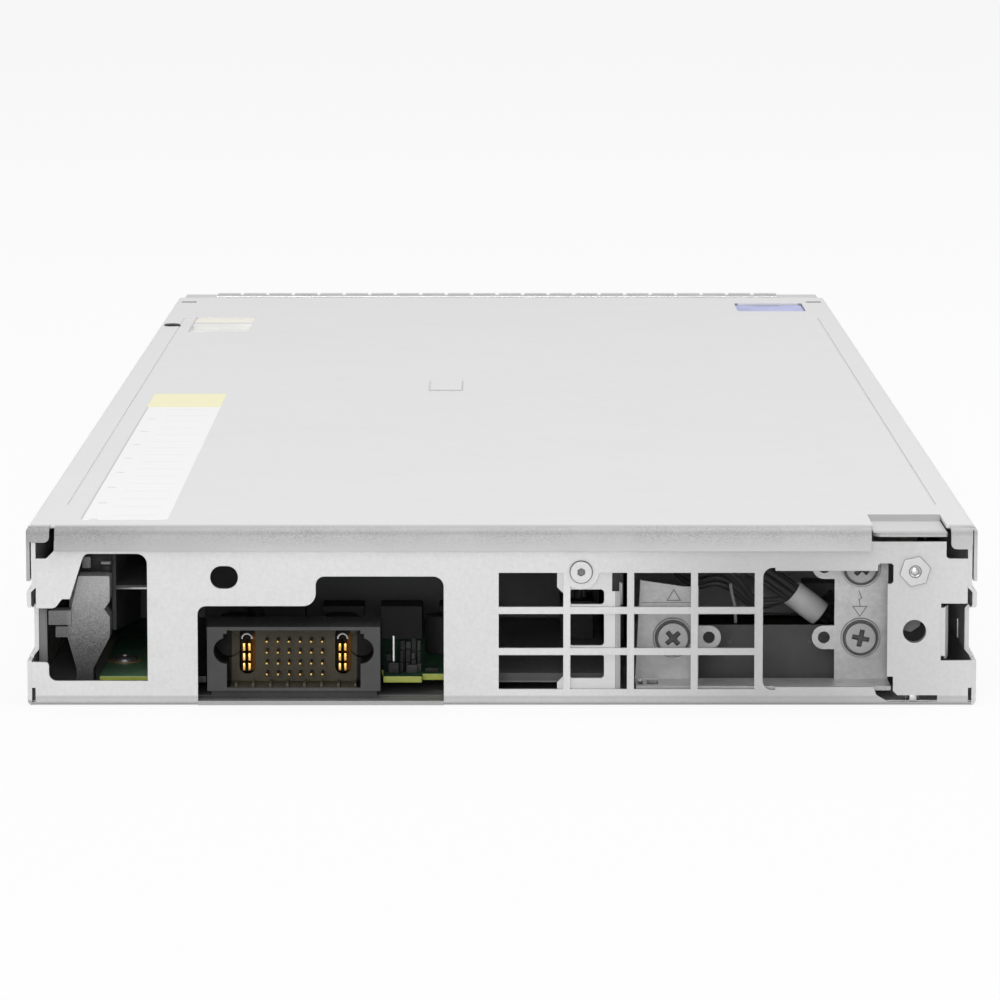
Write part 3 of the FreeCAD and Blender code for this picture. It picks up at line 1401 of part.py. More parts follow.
def capacitors():
    """Row of round capacitors behind the socket."""
    cans = []
    for i in range(CAPACITOR_COUNT):
        x = CAPACITOR_X + i * CAPACITOR_PITCH
        cans.append(rod_z(CAPACITOR_RADIUS, x, CAPACITOR_Y, BOARD_TOP, BOARD_TOP + CAPACITOR_HEIGHT))
    return cans


def chipset_heatsink():
    """Small finned sink at the far end of the board."""
    base = BOARD_TOP + SINK_BASE
    return finned_block(
        CHIPSET_X, CHIPSET_Y, CHIPSET_SIZE, CHIPSET_SIZE, BOARD_TOP, base, CHIPSET_TOP, CHIPSET_FINS
    )


def coin_cell_holder():
    """Shallow cup for the clock cell."""
    size = 2 * (COIN_RADIUS + COIN_CUP_WALL)
    cup = post(COIN_X, COIN_Y, size, BOARD_TOP, BOARD_TOP + COIN_CUP_HEIGHT)
    return cup.cut(rod_z(COIN_RADIUS + FIT_GAP, COIN_X, COIN_Y, BOARD_TOP + SHEET, HEIGHT))


def coin_cell():
    """Clock cell in its cup."""
    return rod_z(COIN_RADIUS, COIN_X, COIN_Y, BOARD_TOP + SHEET, BOARD_TOP + SHEET + COIN_HEIGHT)


def drive_left():
    """Left face of the drives, centred in the cage."""
    return (CAGE_LEFT + CAGE_RIGHT - DRIVE_WIDTH) / 2


def drive_cage():
    """Sheet cradle on two legs, with a shelf and ledges for the two drives."""
    end = CAGE_START + CAGE_LENGTH
    left_inner = CAGE_LEFT + SHEET
    right_inner = CAGE_RIGHT - SHEET
    section = [
        (CAGE_LEFT, SHEET),
        (left_inner, SHEET),
        (left_inner, CAGE_FLOOR - SHEET),
        (right_inner, CAGE_FLOOR - SHEET),
        (right_inner, SHEET),
        (CAGE_RIGHT, SHEET),
        (CAGE_RIGHT, CAGE_TOP),
        (right_inner, CAGE_TOP),
        (right_inner, CAGE_FLOOR),
        (left_inner, CAGE_FLOOR),
        (left_inner, CAGE_TOP),
        (CAGE_LEFT, CAGE_TOP),
    ]
    pieces = [prism_xz(section, CAGE_START, end)]
    ledge_top = CAGE_FLOOR + DRIVE_HEIGHT + DRIVE_GAP
    ledge_low = ledge_top - DRIVE_GAP / 2
    reach_left = drive_left() + LEDGE_REACH
    reach_right = drive_left() + DRIVE_WIDTH - LEDGE_REACH
    for start in (CAGE_START + LEDGE_INSET, end - LEDGE_INSET - 2 * LEDGE_LENGTH):
        pieces.append(box(left_inner, reach_left, start, start + LEDGE_LENGTH, ledge_low, ledge_top))
        pieces.append(box(reach_right, right_inner, start, start + LEDGE_LENGTH, ledge_low, ledge_top))
    return fused(pieces)


def drive(low):
    """One small drive, with a stepped lid."""
    left = drive_left()
    right = left + DRIVE_WIDTH
    start = CAGE_START + DRIVE_SETBACK
    top = low + DRIVE_HEIGHT
    case = box(left, right, start, start + DRIVE_LENGTH, low, top)
    step = box(left, right, start, start + DRIVE_STEP_LENGTH, top - DRIVE_STEP_HEIGHT, top)
    return case.cut(step)


def drive_lower():
    """Drive on the cage's shelf."""
    return drive(CAGE_FLOOR)


def drive_upper():
    """Drive on the cage's ledges."""
    return drive(CAGE_FLOOR + DRIVE_HEIGHT + DRIVE_GAP)


def backplane_front():
    """Face of the backplane that the cable plugs into."""
    return CAGE_START - BACKPLANE_GAP - BACKPLANE_THICK


def drive_backplane():
    """Upright board across the drives' connectors, standing on the floor."""
    front = backplane_front()
    back = front + BACKPLANE_THICK
    left = drive_left()
    right = left + DRIVE_WIDTH
    top = CAGE_TOP - BACKPLANE_DROP
    outline = [
        (left, SHEET),
        (left + BACKPLANE_LEG, SHEET),
        (left + BACKPLANE_LEG, CAGE_FLOOR),
        (right - BACKPLANE_LEG, CAGE_FLOOR),
        (right - BACKPLANE_LEG, SHEET),
        (right, SHEET),
        (right, top),
        (left, top),
    ]
    return prism_xz(outline, front, back)


def cable_route():
    """Corner points of the loom, from the board plug over the partition to the drive plug."""
    fall_left = Vector(*CABLE_FALL_LEFT)
    fall_right = Vector(*CABLE_FALL_RIGHT)
    return [
        Vector(18.0, 74.0, BOARD_TOP + PLUG_DEPTH),
        Vector(18.0, 74.0, 26.0),
        Vector(22.0, 58.0, 33.4),
        Vector(40.0, 46.0, 33.4),
        fall_left,
        fall_right,
        Vector(fall_right.x, backplane_front() - PLUG_DEPTH, fall_right.z),
    ]


def route_edges(points):
    """Straight runs joined by tangent arcs, each as large as its two runs allow."""
    share = 0.45
    edges = []
    last = points[0]
    for before, point, after in zip(points, points[1:], points[2:]):
        towards = before - point
        onwards = after - point
        reach = share * min(towards.Length, onwards.Length)
        towards.normalize()
        onwards.normalize()
        half_angle = towards.getAngle(onwards) / 2
        radius = reach * math.tan(half_angle)
        first = point + towards * reach
        end = point + onwards * reach
        middle = point + (towards + onwards).normalize() * (radius / math.sin(half_angle) - radius)
        edges.append(Part.LineSegment(last, first).toShape())
        edges.append(Part.Arc(first, middle, end).toShape())
        last = end
        print("cable bend radius", round(radius, 1))
    edges.append(Part.LineSegment(last, points[-1]).toShape())
    return edges


def drive_cable():
    """Black loom: the six-sided outline of a bundle of seven wires, swept along its route."""
    points = cable_route()
    path = Part.Wire(route_edges(points))
    start = points[0]
    section = rounded_wire(hexagon(start.x, start.y, 2 * CABLE_RADIUS), lambda u, v: Vector(u, v, start.z))
    loom = path.makePipeShell([section], True, False)
    area = 2 * math.sqrt(3) * CABLE_RADIUS ** 2
    print("cable length", round(path.Length, 1), "volume ratio", round(loom.Volume / (area * path.Length), 4))
    return loom.cut(sleeve_shape(2 * SLEEVE_RADIUS))


def sleeve_shape(radius):
    """Round bar along the stretch of the loom that the sleeve covers."""
    start = Vector(*CABLE_FALL_LEFT)
    run = Vector(*CABLE_FALL_RIGHT) - start
    middle = start + run * SLEEVE_SHARE
    along = Vector(run).normalize() * (SLEEVE_LENGTH / 2)
    return rod(radius, middle - along, middle + along)


def cable_tag_sleeve():
    """White sleeve round the loom."""
    return sleeve_shape(SLEEVE_RADIUS)


def drive_plug():
    """Plug of the loom on the backplane."""
    end = cable_route()[-1]
    half = PLUG_WIDTH / 2
    low = end.z - PLUG_HEIGHT / 2
    return box(end.x - half, end.x + half, end.y, backplane_front(), low, low + PLUG_HEIGHT)


def board_plug():
    """Plug of the loom on the system board."""
    end = cable_route()[0]
    half = PLUG_HEIGHT / 2
    long_half = PLUG_WIDTH / 2
    return box(end.x - half, end.x + half, end.y - long_half, end.y + long_half, BOARD_TOP, end.z)


def riser_socket():
    """Edge socket for the riser."""
    half = RISER_SOCKET_WIDTH / 2
    end = RISER_START + RISER_LENGTH
    top = BOARD_TOP + RISER_SOCKET_HEIGHT
    start = RISER_START - RISER_SOCKET_END
    body = box(RISER_X - half, RISER_X + half, start, end + RISER_SOCKET_END, BOARD_TOP, top)
    groove = BOARD_THICK / 2 + FIT_GAP
    seat = BOARD_TOP + RISER_SEAT
    slot = box(RISER_X - groove, RISER_X + groove, RISER_START - FIT_GAP, end + FIT_GAP, seat, HEIGHT)
    return body.cut(slot)


def riser_board():
    """Upright riser board."""
    half = BOARD_THICK / 2
    end = RISER_START + RISER_LENGTH
    side = [
        (RISER_START, BOARD_TOP + RISER_SEAT),
        (end, BOARD_TOP + RISER_SEAT),
        (end, RISER_TOP),
        (RISER_START, RISER_TOP),
    ]
    return prism_yz(side, RISER_X - half, RISER_X + half)


def slot_cover():
    """Blank plate in the low-profile card slot, with its bent fixing tab."""
    inner = DEPTH - SHEET
    margin = SLOT_MARGIN
    right = SLOT_RIGHT + margin
    face = box(SLOT_LEFT - margin, right, inner - SHEET, inner, SLOT_LOW - margin, SLOT_HIGH + margin)
    boss = box(
        SLOT_LEFT + RUN_GAP, SLOT_RIGHT - RUN_GAP,
        inner, DEPTH - RUN_GAP,
        SLOT_LOW + RUN_GAP, SLOT_HIGH - RUN_GAP,
    )
    ledge = box(right - SHEET, right, inner - SLOT_TAB_LENGTH, inner, SLOT_LOW, SLOT_HIGH)
    return fused([face, boss, ledge])


def panel_holes():
    """Openings of the far panel: ports, buttons, lamps, card slot and the hexagonal vents."""
    low = DEPTH - 2 * SHEET
    high = DEPTH + SHEET
    gap = 2 * FIT_GAP
    outlines = [rectangle(SLOT_LEFT, SLOT_RIGHT, SLOT_LOW, SLOT_HIGH)]
    for x in JACK_XS:
        half = JACK_WIDTH / 2 + gap
        outlines.append(rectangle(x - half, x + half, BOARD_TOP - gap, BOARD_TOP + JACK_HEIGHT + gap))
    half = USB_WIDTH / 2 + gap
    outlines.append(rectangle(USB_X - half, USB_X + half, BOARD_TOP - gap, BOARD_TOP + USB_HEIGHT + gap))
    shell_x = VIDEO_SHELL_WIDTH / 2 + gap
    shell_z = VIDEO_SHELL_HEIGHT / 2 + gap
    outlines.append(rectangle(VIDEO_X - shell_x, VIDEO_X + shell_x, VIDEO_Z - shell_z, VIDEO_Z + shell_z))
    for x, z in hex_places():
        outlines.append(hexagon(x, z, HEX_FLATS))
    holes = [prism_xz(outline, low, high) for outline in outlines]
    for x in lamp_places():
        holes.append(rod_y(LAMP_RADIUS + FIT_GAP, x, LAMP_Z, low, high))
    for x in (POWER_BUTTON_X, UID_BUTTON_X):
        holes.append(rod_y(PUSH_RADIUS + RUN_GAP, x, PUSH_Z, low, high))
    return holes


def hex_places():
    """Centres of the staggered vents: a low field behind the lever and a high one over the jacks."""
    places = []
    fields = (
        (HEX_LEFT_X, HEX_LOW_Z, HEX_ROWS, HEX_COLUMNS),
        (HEX_UPPER_X, HEX_UPPER_Z, HEX_UPPER_ROWS, HEX_UPPER_COLUMNS),
    )
    for left, low, rows, columns in fields:
        for row in range(rows):
            for column in range(columns):
                shift = (row % 2) * HEX_PITCH / 2
                places.append((left + column * HEX_PITCH + shift, low + row * HEX_PITCH * math.sqrt(3) / 2))
    return places


def lamp_places():
    """Where the light pipes come through the panel."""
    return [LAMP_X + i * LAMP_PITCH for i in range(LAMP_COUNT)]


def io_panel():
    """Far panel, folded over at the top and with a foot on the floor."""
    inner = DEPTH - SHEET
    plate = box(-PANEL_EDGE, PANEL_EDGE, inner, DEPTH, SHEET, HEIGHT)
    flange = box(-PANEL_EDGE, PANEL_EDGE, PANEL_FLANGE_START, inner, HEIGHT - SHEET, HEIGHT)
    foot = box(-PANEL_EDGE, PANEL_EDGE, inner - PANEL_FOOT, inner, SHEET, 2 * SHEET)
    return fused([plate, flange, foot]).cut(panel_holes())


def network_jacks():
    """Three network sockets with open mouths."""
    jacks = []
    front = DEPTH + PORT_PROUD
    floor_y = front - JACK_MOUTH_DEPTH
    low = BOARD_TOP + JACK_MOUTH_LOW
    key_low = low + JACK_MOUTH_HEIGHT
    for x in JACK_XS:
        half = JACK_WIDTH / 2
        mouth = JACK_MOUTH_WIDTH / 2
        key = JACK_KEY_WIDTH / 2
        shell = box(x - half, x + half, front - JACK_LENGTH, front, BOARD_TOP, BOARD_TOP + JACK_HEIGHT)
        mouth_cut = box(x - mouth, x + mouth, floor_y, front, low, key_low)
        key_cut = box(x - key, x + key, floor_y, front, key_low, key_low + JACK_KEY_HEIGHT)
        jacks.append(shell.cut(fused([mouth_cut, key_cut])))
    return jacks


def usb_jacks():
    """Stacked pair of serial-bus sockets with their tongues."""
    front = DEPTH + PORT_PROUD
    half = USB_WIDTH / 2
    mouth = USB_MOUTH_WIDTH / 2
    shell = box(USB_X - half, USB_X + half, front - USB_LENGTH, front, BOARD_TOP, BOARD_TOP + USB_HEIGHT)
    tongues = []
    mouths = []
    for level in range(2):
        low = BOARD_TOP + USB_MOUTH_LOW + level * USB_MOUTH_PITCH
        back = front - USB_MOUTH_DEPTH
        mouths.append(box(USB_X - mouth, USB_X + mouth, back, front, low, low + USB_MOUTH_HEIGHT))
        top = low + USB_MOUTH_HEIGHT - USB_TONGUE_GAP
        reach = mouth - USB_TONGUE_INSET
        tip = front - USB_TONGUE_SETBACK
        tongues.append(box(USB_X - reach, USB_X + reach, back, tip, top - USB_TONGUE, top))
    return fused([shell.cut(mouths)] + tongues)


def video_port():
    """D-shaped video socket with its flange behind the panel."""
    inner = DEPTH - SHEET
    half = VIDEO_FLANGE_WIDTH / 2
    half_z = VIDEO_FLANGE_HEIGHT / 2
    body = box(VIDEO_X - half, VIDEO_X + half, inner - VIDEO_BODY_LENGTH, inner, BOARD_TOP, VIDEO_Z + half_z)
    end = DEPTH + VIDEO_REACH
    wall = VIDEO_MOUTH_WALL
    wide = VIDEO_SHELL_WIDTH / 2
    tall = VIDEO_SHELL_HEIGHT / 2
    shell = prism_xz(d_outline(wide, tall, VIDEO_ROUND), inner, end)
    mouth = prism_xz(d_outline(wide - wall, tall - wall, VIDEO_ROUND - wall), DEPTH, end + SHEET)
    return fused([body, shell.cut(mouth)])


def d_outline(wide, tall, radius):
    """Outline of a D-shaped connector, wider at its top."""
    return [
        (VIDEO_X - wide + VIDEO_SLANT, VIDEO_Z - tall, radius),
        (VIDEO_X + wide - VIDEO_SLANT, VIDEO_Z - tall, radius),
        (VIDEO_X + wide, VIDEO_Z + tall, radius),
        (VIDEO_X - wide, VIDEO_Z + tall, radius),
    ]


def light_pipes():
    """Clear rods that bring the lamps to the panel."""
    front = DEPTH + RUN_GAP
    return [rod_y(LAMP_RADIUS, x, LAMP_Z, front - LAMP_LENGTH, front) for x in lamp_places()]


def push_button(x):
    """Round push button with a square flange behind the panel and a square stem."""
    inner = DEPTH - SHEET - RUN_GAP
    cap = rod_y(PUSH_RADIUS, x, PUSH_Z, inner - PUSH_FLANGE_THICK, DEPTH + PUSH_PROUD)
    reach = PUSH_FLANGE
    flange = box(x - reach, x + reach, inner - PUSH_FLANGE_THICK, inner, PUSH_Z - reach, PUSH_Z + reach)
    half = PUSH_RADIUS / 2
    stem = box(x - half, x + half, inner - PUSH_STEM, inner, PUSH_Z - half, PUSH_Z + half)
    return fused([cap, flange, stem])


def emi_gasket():
    """Strip of arched spring fingers along the panel's top edge."""
    end = DEPTH - SHEET
    start = end - GASKET_DEPTH
    strip = GASKET_STRIP
    top = HEIGHT + GASKET_RISE
    length = GASKET_FINGERS * GASKET_PITCH
    foot = box(GASKET_LEFT, GASKET_LEFT + length, start, start + GASKET_FOOT, HEIGHT, HEIGHT + strip)
    arch = [
        (start, HEIGHT),
        (start + GASKET_FOOT, HEIGHT),
        (start + GASKET_CREST_START, top - strip),
        (start + GASKET_CREST_END, top - strip),
        (end, HEIGHT + strip),
        (end, HEIGHT + 2 * strip),
        (start + GASKET_CREST_END, top),
        (start + GASKET_CREST_START - strip, top),
        (start + GASKET_FOOT - strip, HEIGHT + strip),
        (start, HEIGHT + strip),
    ]
    fingers = []
    for i in range(GASKET_FINGERS):
        left = GASKET_LEFT + i * GASKET_PITCH
        fingers.append(prism_yz(arch, left + GASKET_SLIT / 2, left + GASKET_PITCH - GASKET_SLIT / 2))
    return fused([foot] + fingers)


def lever_pin_place():
    """Middle of the lever's pin, in plan."""
    return LEVER_PIN_X, DEPTH + LEVER_PIN_Y


def lever_bracket():
    """Two ears on a back plate, fixed to the panel, that carry the lever's pin."""
    x, y = lever_pin_place()
    low = LEVER_LOW - LEVER_EAR_GAP
    high = LEVER_HIGH + LEVER_EAR_GAP
    left = x - LEVER_EAR_LEFT
    right = x + LEVER_EAR_RIGHT
    back = box(left, right, DEPTH, DEPTH + SHEET, low - LEVER_EAR, high + LEVER_EAR)
    plan = [
        (left, DEPTH),
        (right, DEPTH),
        (right, DEPTH + LEVER_EAR_REACH, LEVER_EAR_ROUND),
        (left, DEPTH + LEVER_EAR_REACH, LEVER_EAR_ROUND),
    ]
    ears = [prism_xy(plan, low - LEVER_EAR, low), prism_xy(plan, high, high + LEVER_EAR)]
    hole = rod_z(LEVER_PIN_RADIUS, x, y, 0, HEIGHT)
    return fused([back] + ears).cut(hole)


def lever_pin():
    """Headed pin of the lever."""
    x, y = lever_pin_place()
    low = LEVER_LOW - LEVER_EAR_GAP - LEVER_EAR
    high = LEVER_HIGH + LEVER_EAR_GAP + LEVER_EAR
    head = rod_z(LEVER_HEAD_RADIUS, x, y, high, high + SHEET)
    return fused([rod_z(LEVER_PIN_RADIUS, x, y, low, high), head])


def lever_plan(skin):
    """Outline of the lever's arm and finger hook, grown by a skin."""
    x, y = lever_pin_place()
    near = y - LEVER_THICK / 2 - skin
    far = y + LEVER_THICK / 2 + skin
    tip = DEPTH + LEVER_REACH - GRIP_SKIN + skin
    return [
        (x, near),
        (x, far),
        (LEVER_ARM_END, far, LEVER_BEND),
        (LEVER_TIP_X + LEVER_THICK + skin, tip, LEVER_TIP_ROUND),
        (LEVER_TIP_X - skin, tip, LEVER_TIP_ROUND),
        (LEVER_ARM_END - LEVER_THICK, near, LEVER_BEND),
    ]


def lever_grip_room():
    """Space at the free end of the lever that the grip takes up."""
    return box(0, GRIP_START, DEPTH, DEPTH + 2 * LEVER_REACH, 0, HEIGHT)


def ejector_lever():
    """Lever: barrel round the pin, arm, finger hook and ejecting nose."""
    x, y = lever_pin_place()
    barrel = rod_z(LEVER_BARREL, x, y, LEVER_LOW, LEVER_HIGH)
    arm = prism_xy(lever_plan(0), LEVER_LOW, LEVER_HIGH)
    nose_plan = [
        (x, y - LEVER_NOSE_ROOT),
        (x + LEVER_NOSE, y - LEVER_NOSE_TIP),
        (x + LEVER_NOSE, y + LEVER_NOSE_TIP),
        (x, y + LEVER_NOSE_ROOT),
    ]
    nose = prism_xy(nose_plan, LEVER_LOW, LEVER_HIGH)
    hole = rod_z(LEVER_PIN_RADIUS + RUN_GAP, x, y, 0, HEIGHT)
    return fused([barrel, arm, nose]).cut(hole)


def lever_grip():
    """Moulded grip over the lever's finger hook."""
    inset = GRIP_SKIN / 2
    outer = prism_xy(lever_plan(GRIP_SKIN), LEVER_LOW - inset, LEVER_HIGH + inset)
    return outer.common(lever_grip_room()).cut(prism_xy(lever_plan(0), LEVER_LOW, LEVER_HIGH))


def nodes():
    """Every sub-part by name."""
    return {
        "tray": tray(),
        "front_wall": front_wall(),
        "hex_standoff": hex_standoff(),
        "top_cover": top_cover(),
        "window_insert": window_insert(),
        "cover_latch_pan": cover_latch_pan(),
        "cover_button": cover_button(),
        "partition_wall": partition_wall(),
        "partition_screw": partition_screw(),
        "connector_bracket": connector_bracket(),
        "bracket_support": bracket_support(),
        "bracket_screws": bracket_screws(),
        "power_connector_housing": power_connector_housing(),
        "power_contacts": power_contacts(),
        "signal_pins": signal_pins(),
        "system_board": system_board(),
        "board_standoffs": board_standoffs(),
        "header_base": header_base(),
        "header_pin": header_pin(),
        "guide_block": guide_block(),
        "cpu_sockets": cpu_sockets(),
        "processors": processors(),
        "heatsink_front": processor_heatsink(CPU_YS[0]),
        "heatsink_rear": processor_heatsink(CPU_YS[1]),
        "memory_sockets": memory_sockets(),
        "memory_modules": memory_modules(),
        "air_baffle": air_baffle(),
        "front_baffle": front_baffle(),
        "power_inductors": power_inductors(),
        "capacitors": capacitors(),
        "chipset_heatsink": chipset_heatsink(),
        "coin_cell_holder": coin_cell_holder(),
        "coin_cell": coin_cell(),
        "drive_cage": drive_cage(),
        "drive_lower": drive_lower(),
        "drive_upper": drive_upper(),
        "drive_backplane": drive_backplane(),
        "drive_cable": drive_cable(),
        "cable_tag_sleeve": cable_tag_sleeve(),
        "drive_plug": drive_plug(),
        "board_plug": board_plug(),
        "riser_socket": riser_socket(),
        "riser_board": riser_board(),
        "slot_cover": slot_cover(),
        "io_panel": io_panel(),
        "network_jacks": network_jacks(),
        "usb_jacks": usb_jacks(),
        "video_port": video_port(),
        "light_pipes": light_pipes(),
        "power_button": push_button(POWER_BUTTON_X),
        "uid_button": push_button(UID_BUTTON_X),
        "emi_gasket": emi_gasket(),
        "lever_bracket": lever_bracket(),
        "lever_pin": lever_pin(),
        "ejector_lever": ejector_lever(),
        "lever_grip": lever_grip(),
    }


def write(name, shape):
    """Move one sub-part to the node's origin and write its solids."""
    shapes = shape if isinstance(shape, list) else [shape]
    solids = [solid for piece in shapes for solid in piece.Solids]
    whole = solids[0] if len(solids) == 1 else Part.makeCompound(solids)
    whole.translate(Vector(0, Y_SHIFT, 0))
    whole.exportStep(os.path.join("parts", name + ".step"))


os.makedirs("parts", exist_ok=True)
for node_name, node_shape in nodes().items():
    write(node_name, node_shape)
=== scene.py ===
import json
import math
import random

import bmesh
import bpy
from mathutils import Matrix, Vector


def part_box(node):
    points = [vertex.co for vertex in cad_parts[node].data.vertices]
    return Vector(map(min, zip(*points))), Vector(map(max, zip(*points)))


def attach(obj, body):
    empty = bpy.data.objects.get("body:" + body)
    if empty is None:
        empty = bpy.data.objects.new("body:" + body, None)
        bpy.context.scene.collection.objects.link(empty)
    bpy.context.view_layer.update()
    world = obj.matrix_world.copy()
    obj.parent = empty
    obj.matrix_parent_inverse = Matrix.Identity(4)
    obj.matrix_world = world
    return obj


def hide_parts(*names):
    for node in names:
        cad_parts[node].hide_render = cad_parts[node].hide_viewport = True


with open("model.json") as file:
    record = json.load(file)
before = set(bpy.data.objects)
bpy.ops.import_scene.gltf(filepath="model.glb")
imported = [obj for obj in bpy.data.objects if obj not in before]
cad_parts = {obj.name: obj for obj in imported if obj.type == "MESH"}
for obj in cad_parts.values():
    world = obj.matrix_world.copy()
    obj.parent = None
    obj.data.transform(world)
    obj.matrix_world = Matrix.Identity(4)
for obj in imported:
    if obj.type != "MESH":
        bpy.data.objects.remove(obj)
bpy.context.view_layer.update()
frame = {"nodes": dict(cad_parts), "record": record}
nodes = frame["nodes"]

# Places are given in millimetres: x across, d inwards from the connector-end wall, z up.
MM = 0.001
WALL_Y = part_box("front_wall")[0].y
FORWARD = Vector((0, -1, 0))
BACKWARD = Vector((0, 1, 0))
UPWARD = Vector((0, 0, 1))
EDGE_ROUND = 0.18
EDGE_ANGLE = 40
FLAT_ANGLE = 0.5
SMOOTH_ANGLE = 35

# The cover, with its paper label, the raised pad in its middle and a screw at the far left
COVER_TOP = 41.0
LABEL_LEFT = -96.6
LABEL_RIGHT = -76.6
LABEL_START = 12.5
LABEL_END = 284.0
LABEL_HEAD = 250.0
LABEL_ROW = 29.7
LABEL_CORNER = 1.5
LABEL_THICK = 0.06
PAD_X = -15.6
PAD_START = 292.0
PAD_END = 319.0
COVER_SCREW = (-104.0, 488.0)

# The tray's floor, the board, its films and the dark plate across the drive bay
FLOOR_TOP = 1.0
BOARD_LOW = 3.7
BOARD_TOP = 5.3
BOARD_STEP = 12.7
BOARD_SCREW = (-88.0, 32.0)
FILMS = (("black_film", 0.13), ("bay_plate", 0.1), ("film_rim", 0.3))
FILM_LEFT = -12.5
FILM_RIGHT = 24.0
FILM_THICK = 0.12
PLATE_LEFT = 30.5
PLATE_RIGHT = 101.0
PLATE_FACE = 25.6
PLATE_TOP = 14.7
PLATE_DOTS = ((52.9, 10.7), (71.6, 10.7))

# The bracket, the partition, the insert in the wall and the left window
BRACKET_FACE = 12.0
BRACKET_SCREW_FACE = 10.6
BRACKET_SCREWS = ((39.3, 13.8), (82.4, 13.8), (82.4, 30.1))
PARTITION_SCREW = (18.05, 30.6)
PARTITION_SCREW_FACE = -0.4
STANDOFF = (93.9, 30.8)
GUIDE_HOLE = (93.9, 17.0)
SHELF_LOW = 24.1
SHELF_FRONT = 18.0
RIB_CORNER = (-88.8, 90.0, 6.0)
RIB_LIFT = 9.3

# The power socket and the small parts beside it
SOCKET_FACE = 2.0
SOCKET_FLOOR = 12.0
CAVITY_LOW = 3.2
CAVITY_HIGH = 17.2
GUIDE_EDGES = (-62.1, -33.3)
BLADE_MIDDLES = (-58.45, -36.45)
BLADE_SLOT_HALF = 1.8
SOCKET_RIBS = 8
SOCKET_RIB_FIRST = -61.0
SOCKET_RIB_PITCH = 3.9
HEADER_CORNER = (-23.4, 15.2)
HEADER_PITCH = (1.3, 1.7)

# The far panel
PANEL_FACE = 600.0
PANEL_SCREWS = ((-103.0, 36.5), (-103.0, 22.0), (25.0, 36.5), (25.0, 6.0))
JACK_MIDDLES = (-95.0, -77.0, -59.0)
JACK_WIRES = 8
JACK_WIRE_FIRST = -3.57
JACK_WIRE_PITCH = 1.02
JACK_WIRE_LINE = ((2.5, 8.0), (6.0, 10.2), (10.5, 12.8))
VIDEO_CORE = (-10.0, 13.0, 7.6, 3.3)

# The loom, its loose strands, the tail of its tie and its sleeve
LOOM_ROUTE = (
    (18, 74, 14.3), (18, 74, 26), (22, 58, 33.4), (40, 46, 33.4), (59, 40, 27.2),
    (80, 42, 10.8), (80, 80.9, 12.6),
)
STRAND_ROUTE = (
    (30, 51, 33.4), (38, 44, 28), (45, 40, 22), (51, 39, 24.5), (56, 40, 20.5),
    (60, 41, 16.0), (69, 41.2, 19.2),
)
TIE_ROUTE = ((53.6, 38.6, 22.5), (54.0, 38.2, 19.6), (54.8, 38.4, 16.8), (54.9, 39.2, 13.2))
STRANDS = ((0.0, 0.0), (0.5, 1.5), (-0.4, 2.9), (0.6, -1.4))
WIRE_RADIUS = 0.8
WIRE_REACH = 1.68
LOOM_TWIST = 2.2
STRAND_RADIUS = 0.7
TIE_RADIUS = 0.38
SLEEVE_MIDDLE = (71.5, 41.2, 17.5)
SLEEVE_RUN = (0.786, 0.075, -0.614)

# The camera, and the levels of the surroundings
CAMERA_PLACE = (-0.0004, -1.5311, 0.2013)
CAMERA_TILT = 82.79
LENS = 195.0
SENSOR = 36.0
SOFT_LIGHT = 0.42
DIM_MIRROR = 0.56
FLOOR_HALF = 6.0
FLOOR_DROP = 0.2
FLOOR_GLOW = 0.88


def at(x, d, z):
    """A place given in millimetres, as a point of the shared frame."""
    return Vector((x * MM, WALL_Y + d * MM, z * MM))


class Nodes:
    """A shader tree whose nodes are added by short calls."""

    def __init__(self, tree):
        self.tree = tree

    def add(self, kind, **values):
        """A node; each value is set on the socket of that name, or linked if it is a socket."""
        node = self.tree.nodes.new(kind)
        for name, value in values.items():
            self.feed(node.inputs[name.replace("_", " ")], value)
        return node

    def feed(self, socket, value):
        if isinstance(value, bpy.types.NodeSocket):
            self.tree.links.new(value, socket)
        else:
            socket.default_value = value

    def axis(self, name, source):
        """One part of a vector."""
        return self.add("ShaderNodeSeparateXYZ", Vector=source).outputs[name]

    def math(self, operation, first, second=0.0):
        node = self.tree.nodes.new("ShaderNodeMath")
        node.operation = operation
        self.feed(node.inputs[0], first)
        self.feed(node.inputs[1], second)
        return node.outputs[0]

    def both(self, *factors):
        """Product of several factors."""
        total = factors[0]
        for factor in factors[1:]:
            total = self.math("MULTIPLY", total, factor)
        return total

    def span(self, value, low, high, to_low=0.0, to_high=1.0):
        """Value carried from one range to another, and held at its ends."""
        node = self.add("ShaderNodeMapRange", Value=value)
        node.inputs["From Min"].default_value = low
        node.inputs["From Max"].default_value = high
        node.inputs["To Min"].default_value = to_low
        node.inputs["To Max"].default_value = to_high
        return node.outputs[0]

    def between(self, value, low, high, soft):
        """1 inside a range of a value, falling to 0 outside it."""
        rise = self.span(value, low - soft, low + soft)
        fall = self.span(value, high - soft, high + soft, 1.0, 0.0)
        return self.math("MULTIPLY", rise, fall)

    def ramp(self, factor, *stops):
        """Colours along a factor; each stop is a position and a colour."""
        node = self.add("ShaderNodeValToRGB", Fac=factor)
        elements = node.color_ramp.elements
        while len(elements) < len(stops):
            elements.new(0.5)
        for element, (position, colour) in zip(elements, stops):
            element.position = position
            element.color = (*colour, 1.0)
        return node.outputs["Color"]

    def mix(self, factor, first, second):
        """Two colours mixed by a factor."""
        node = self.tree.nodes.new("ShaderNodeMix")
        node.data_type = "RGBA"
        self.feed(node.inputs[0], factor)
        for socket, value in ((node.inputs[6], first), (node.inputs[7], second)):
            self.feed(socket, value if isinstance(value, bpy.types.NodeSocket) else (*value, 1.0))
        return node.outputs[2]


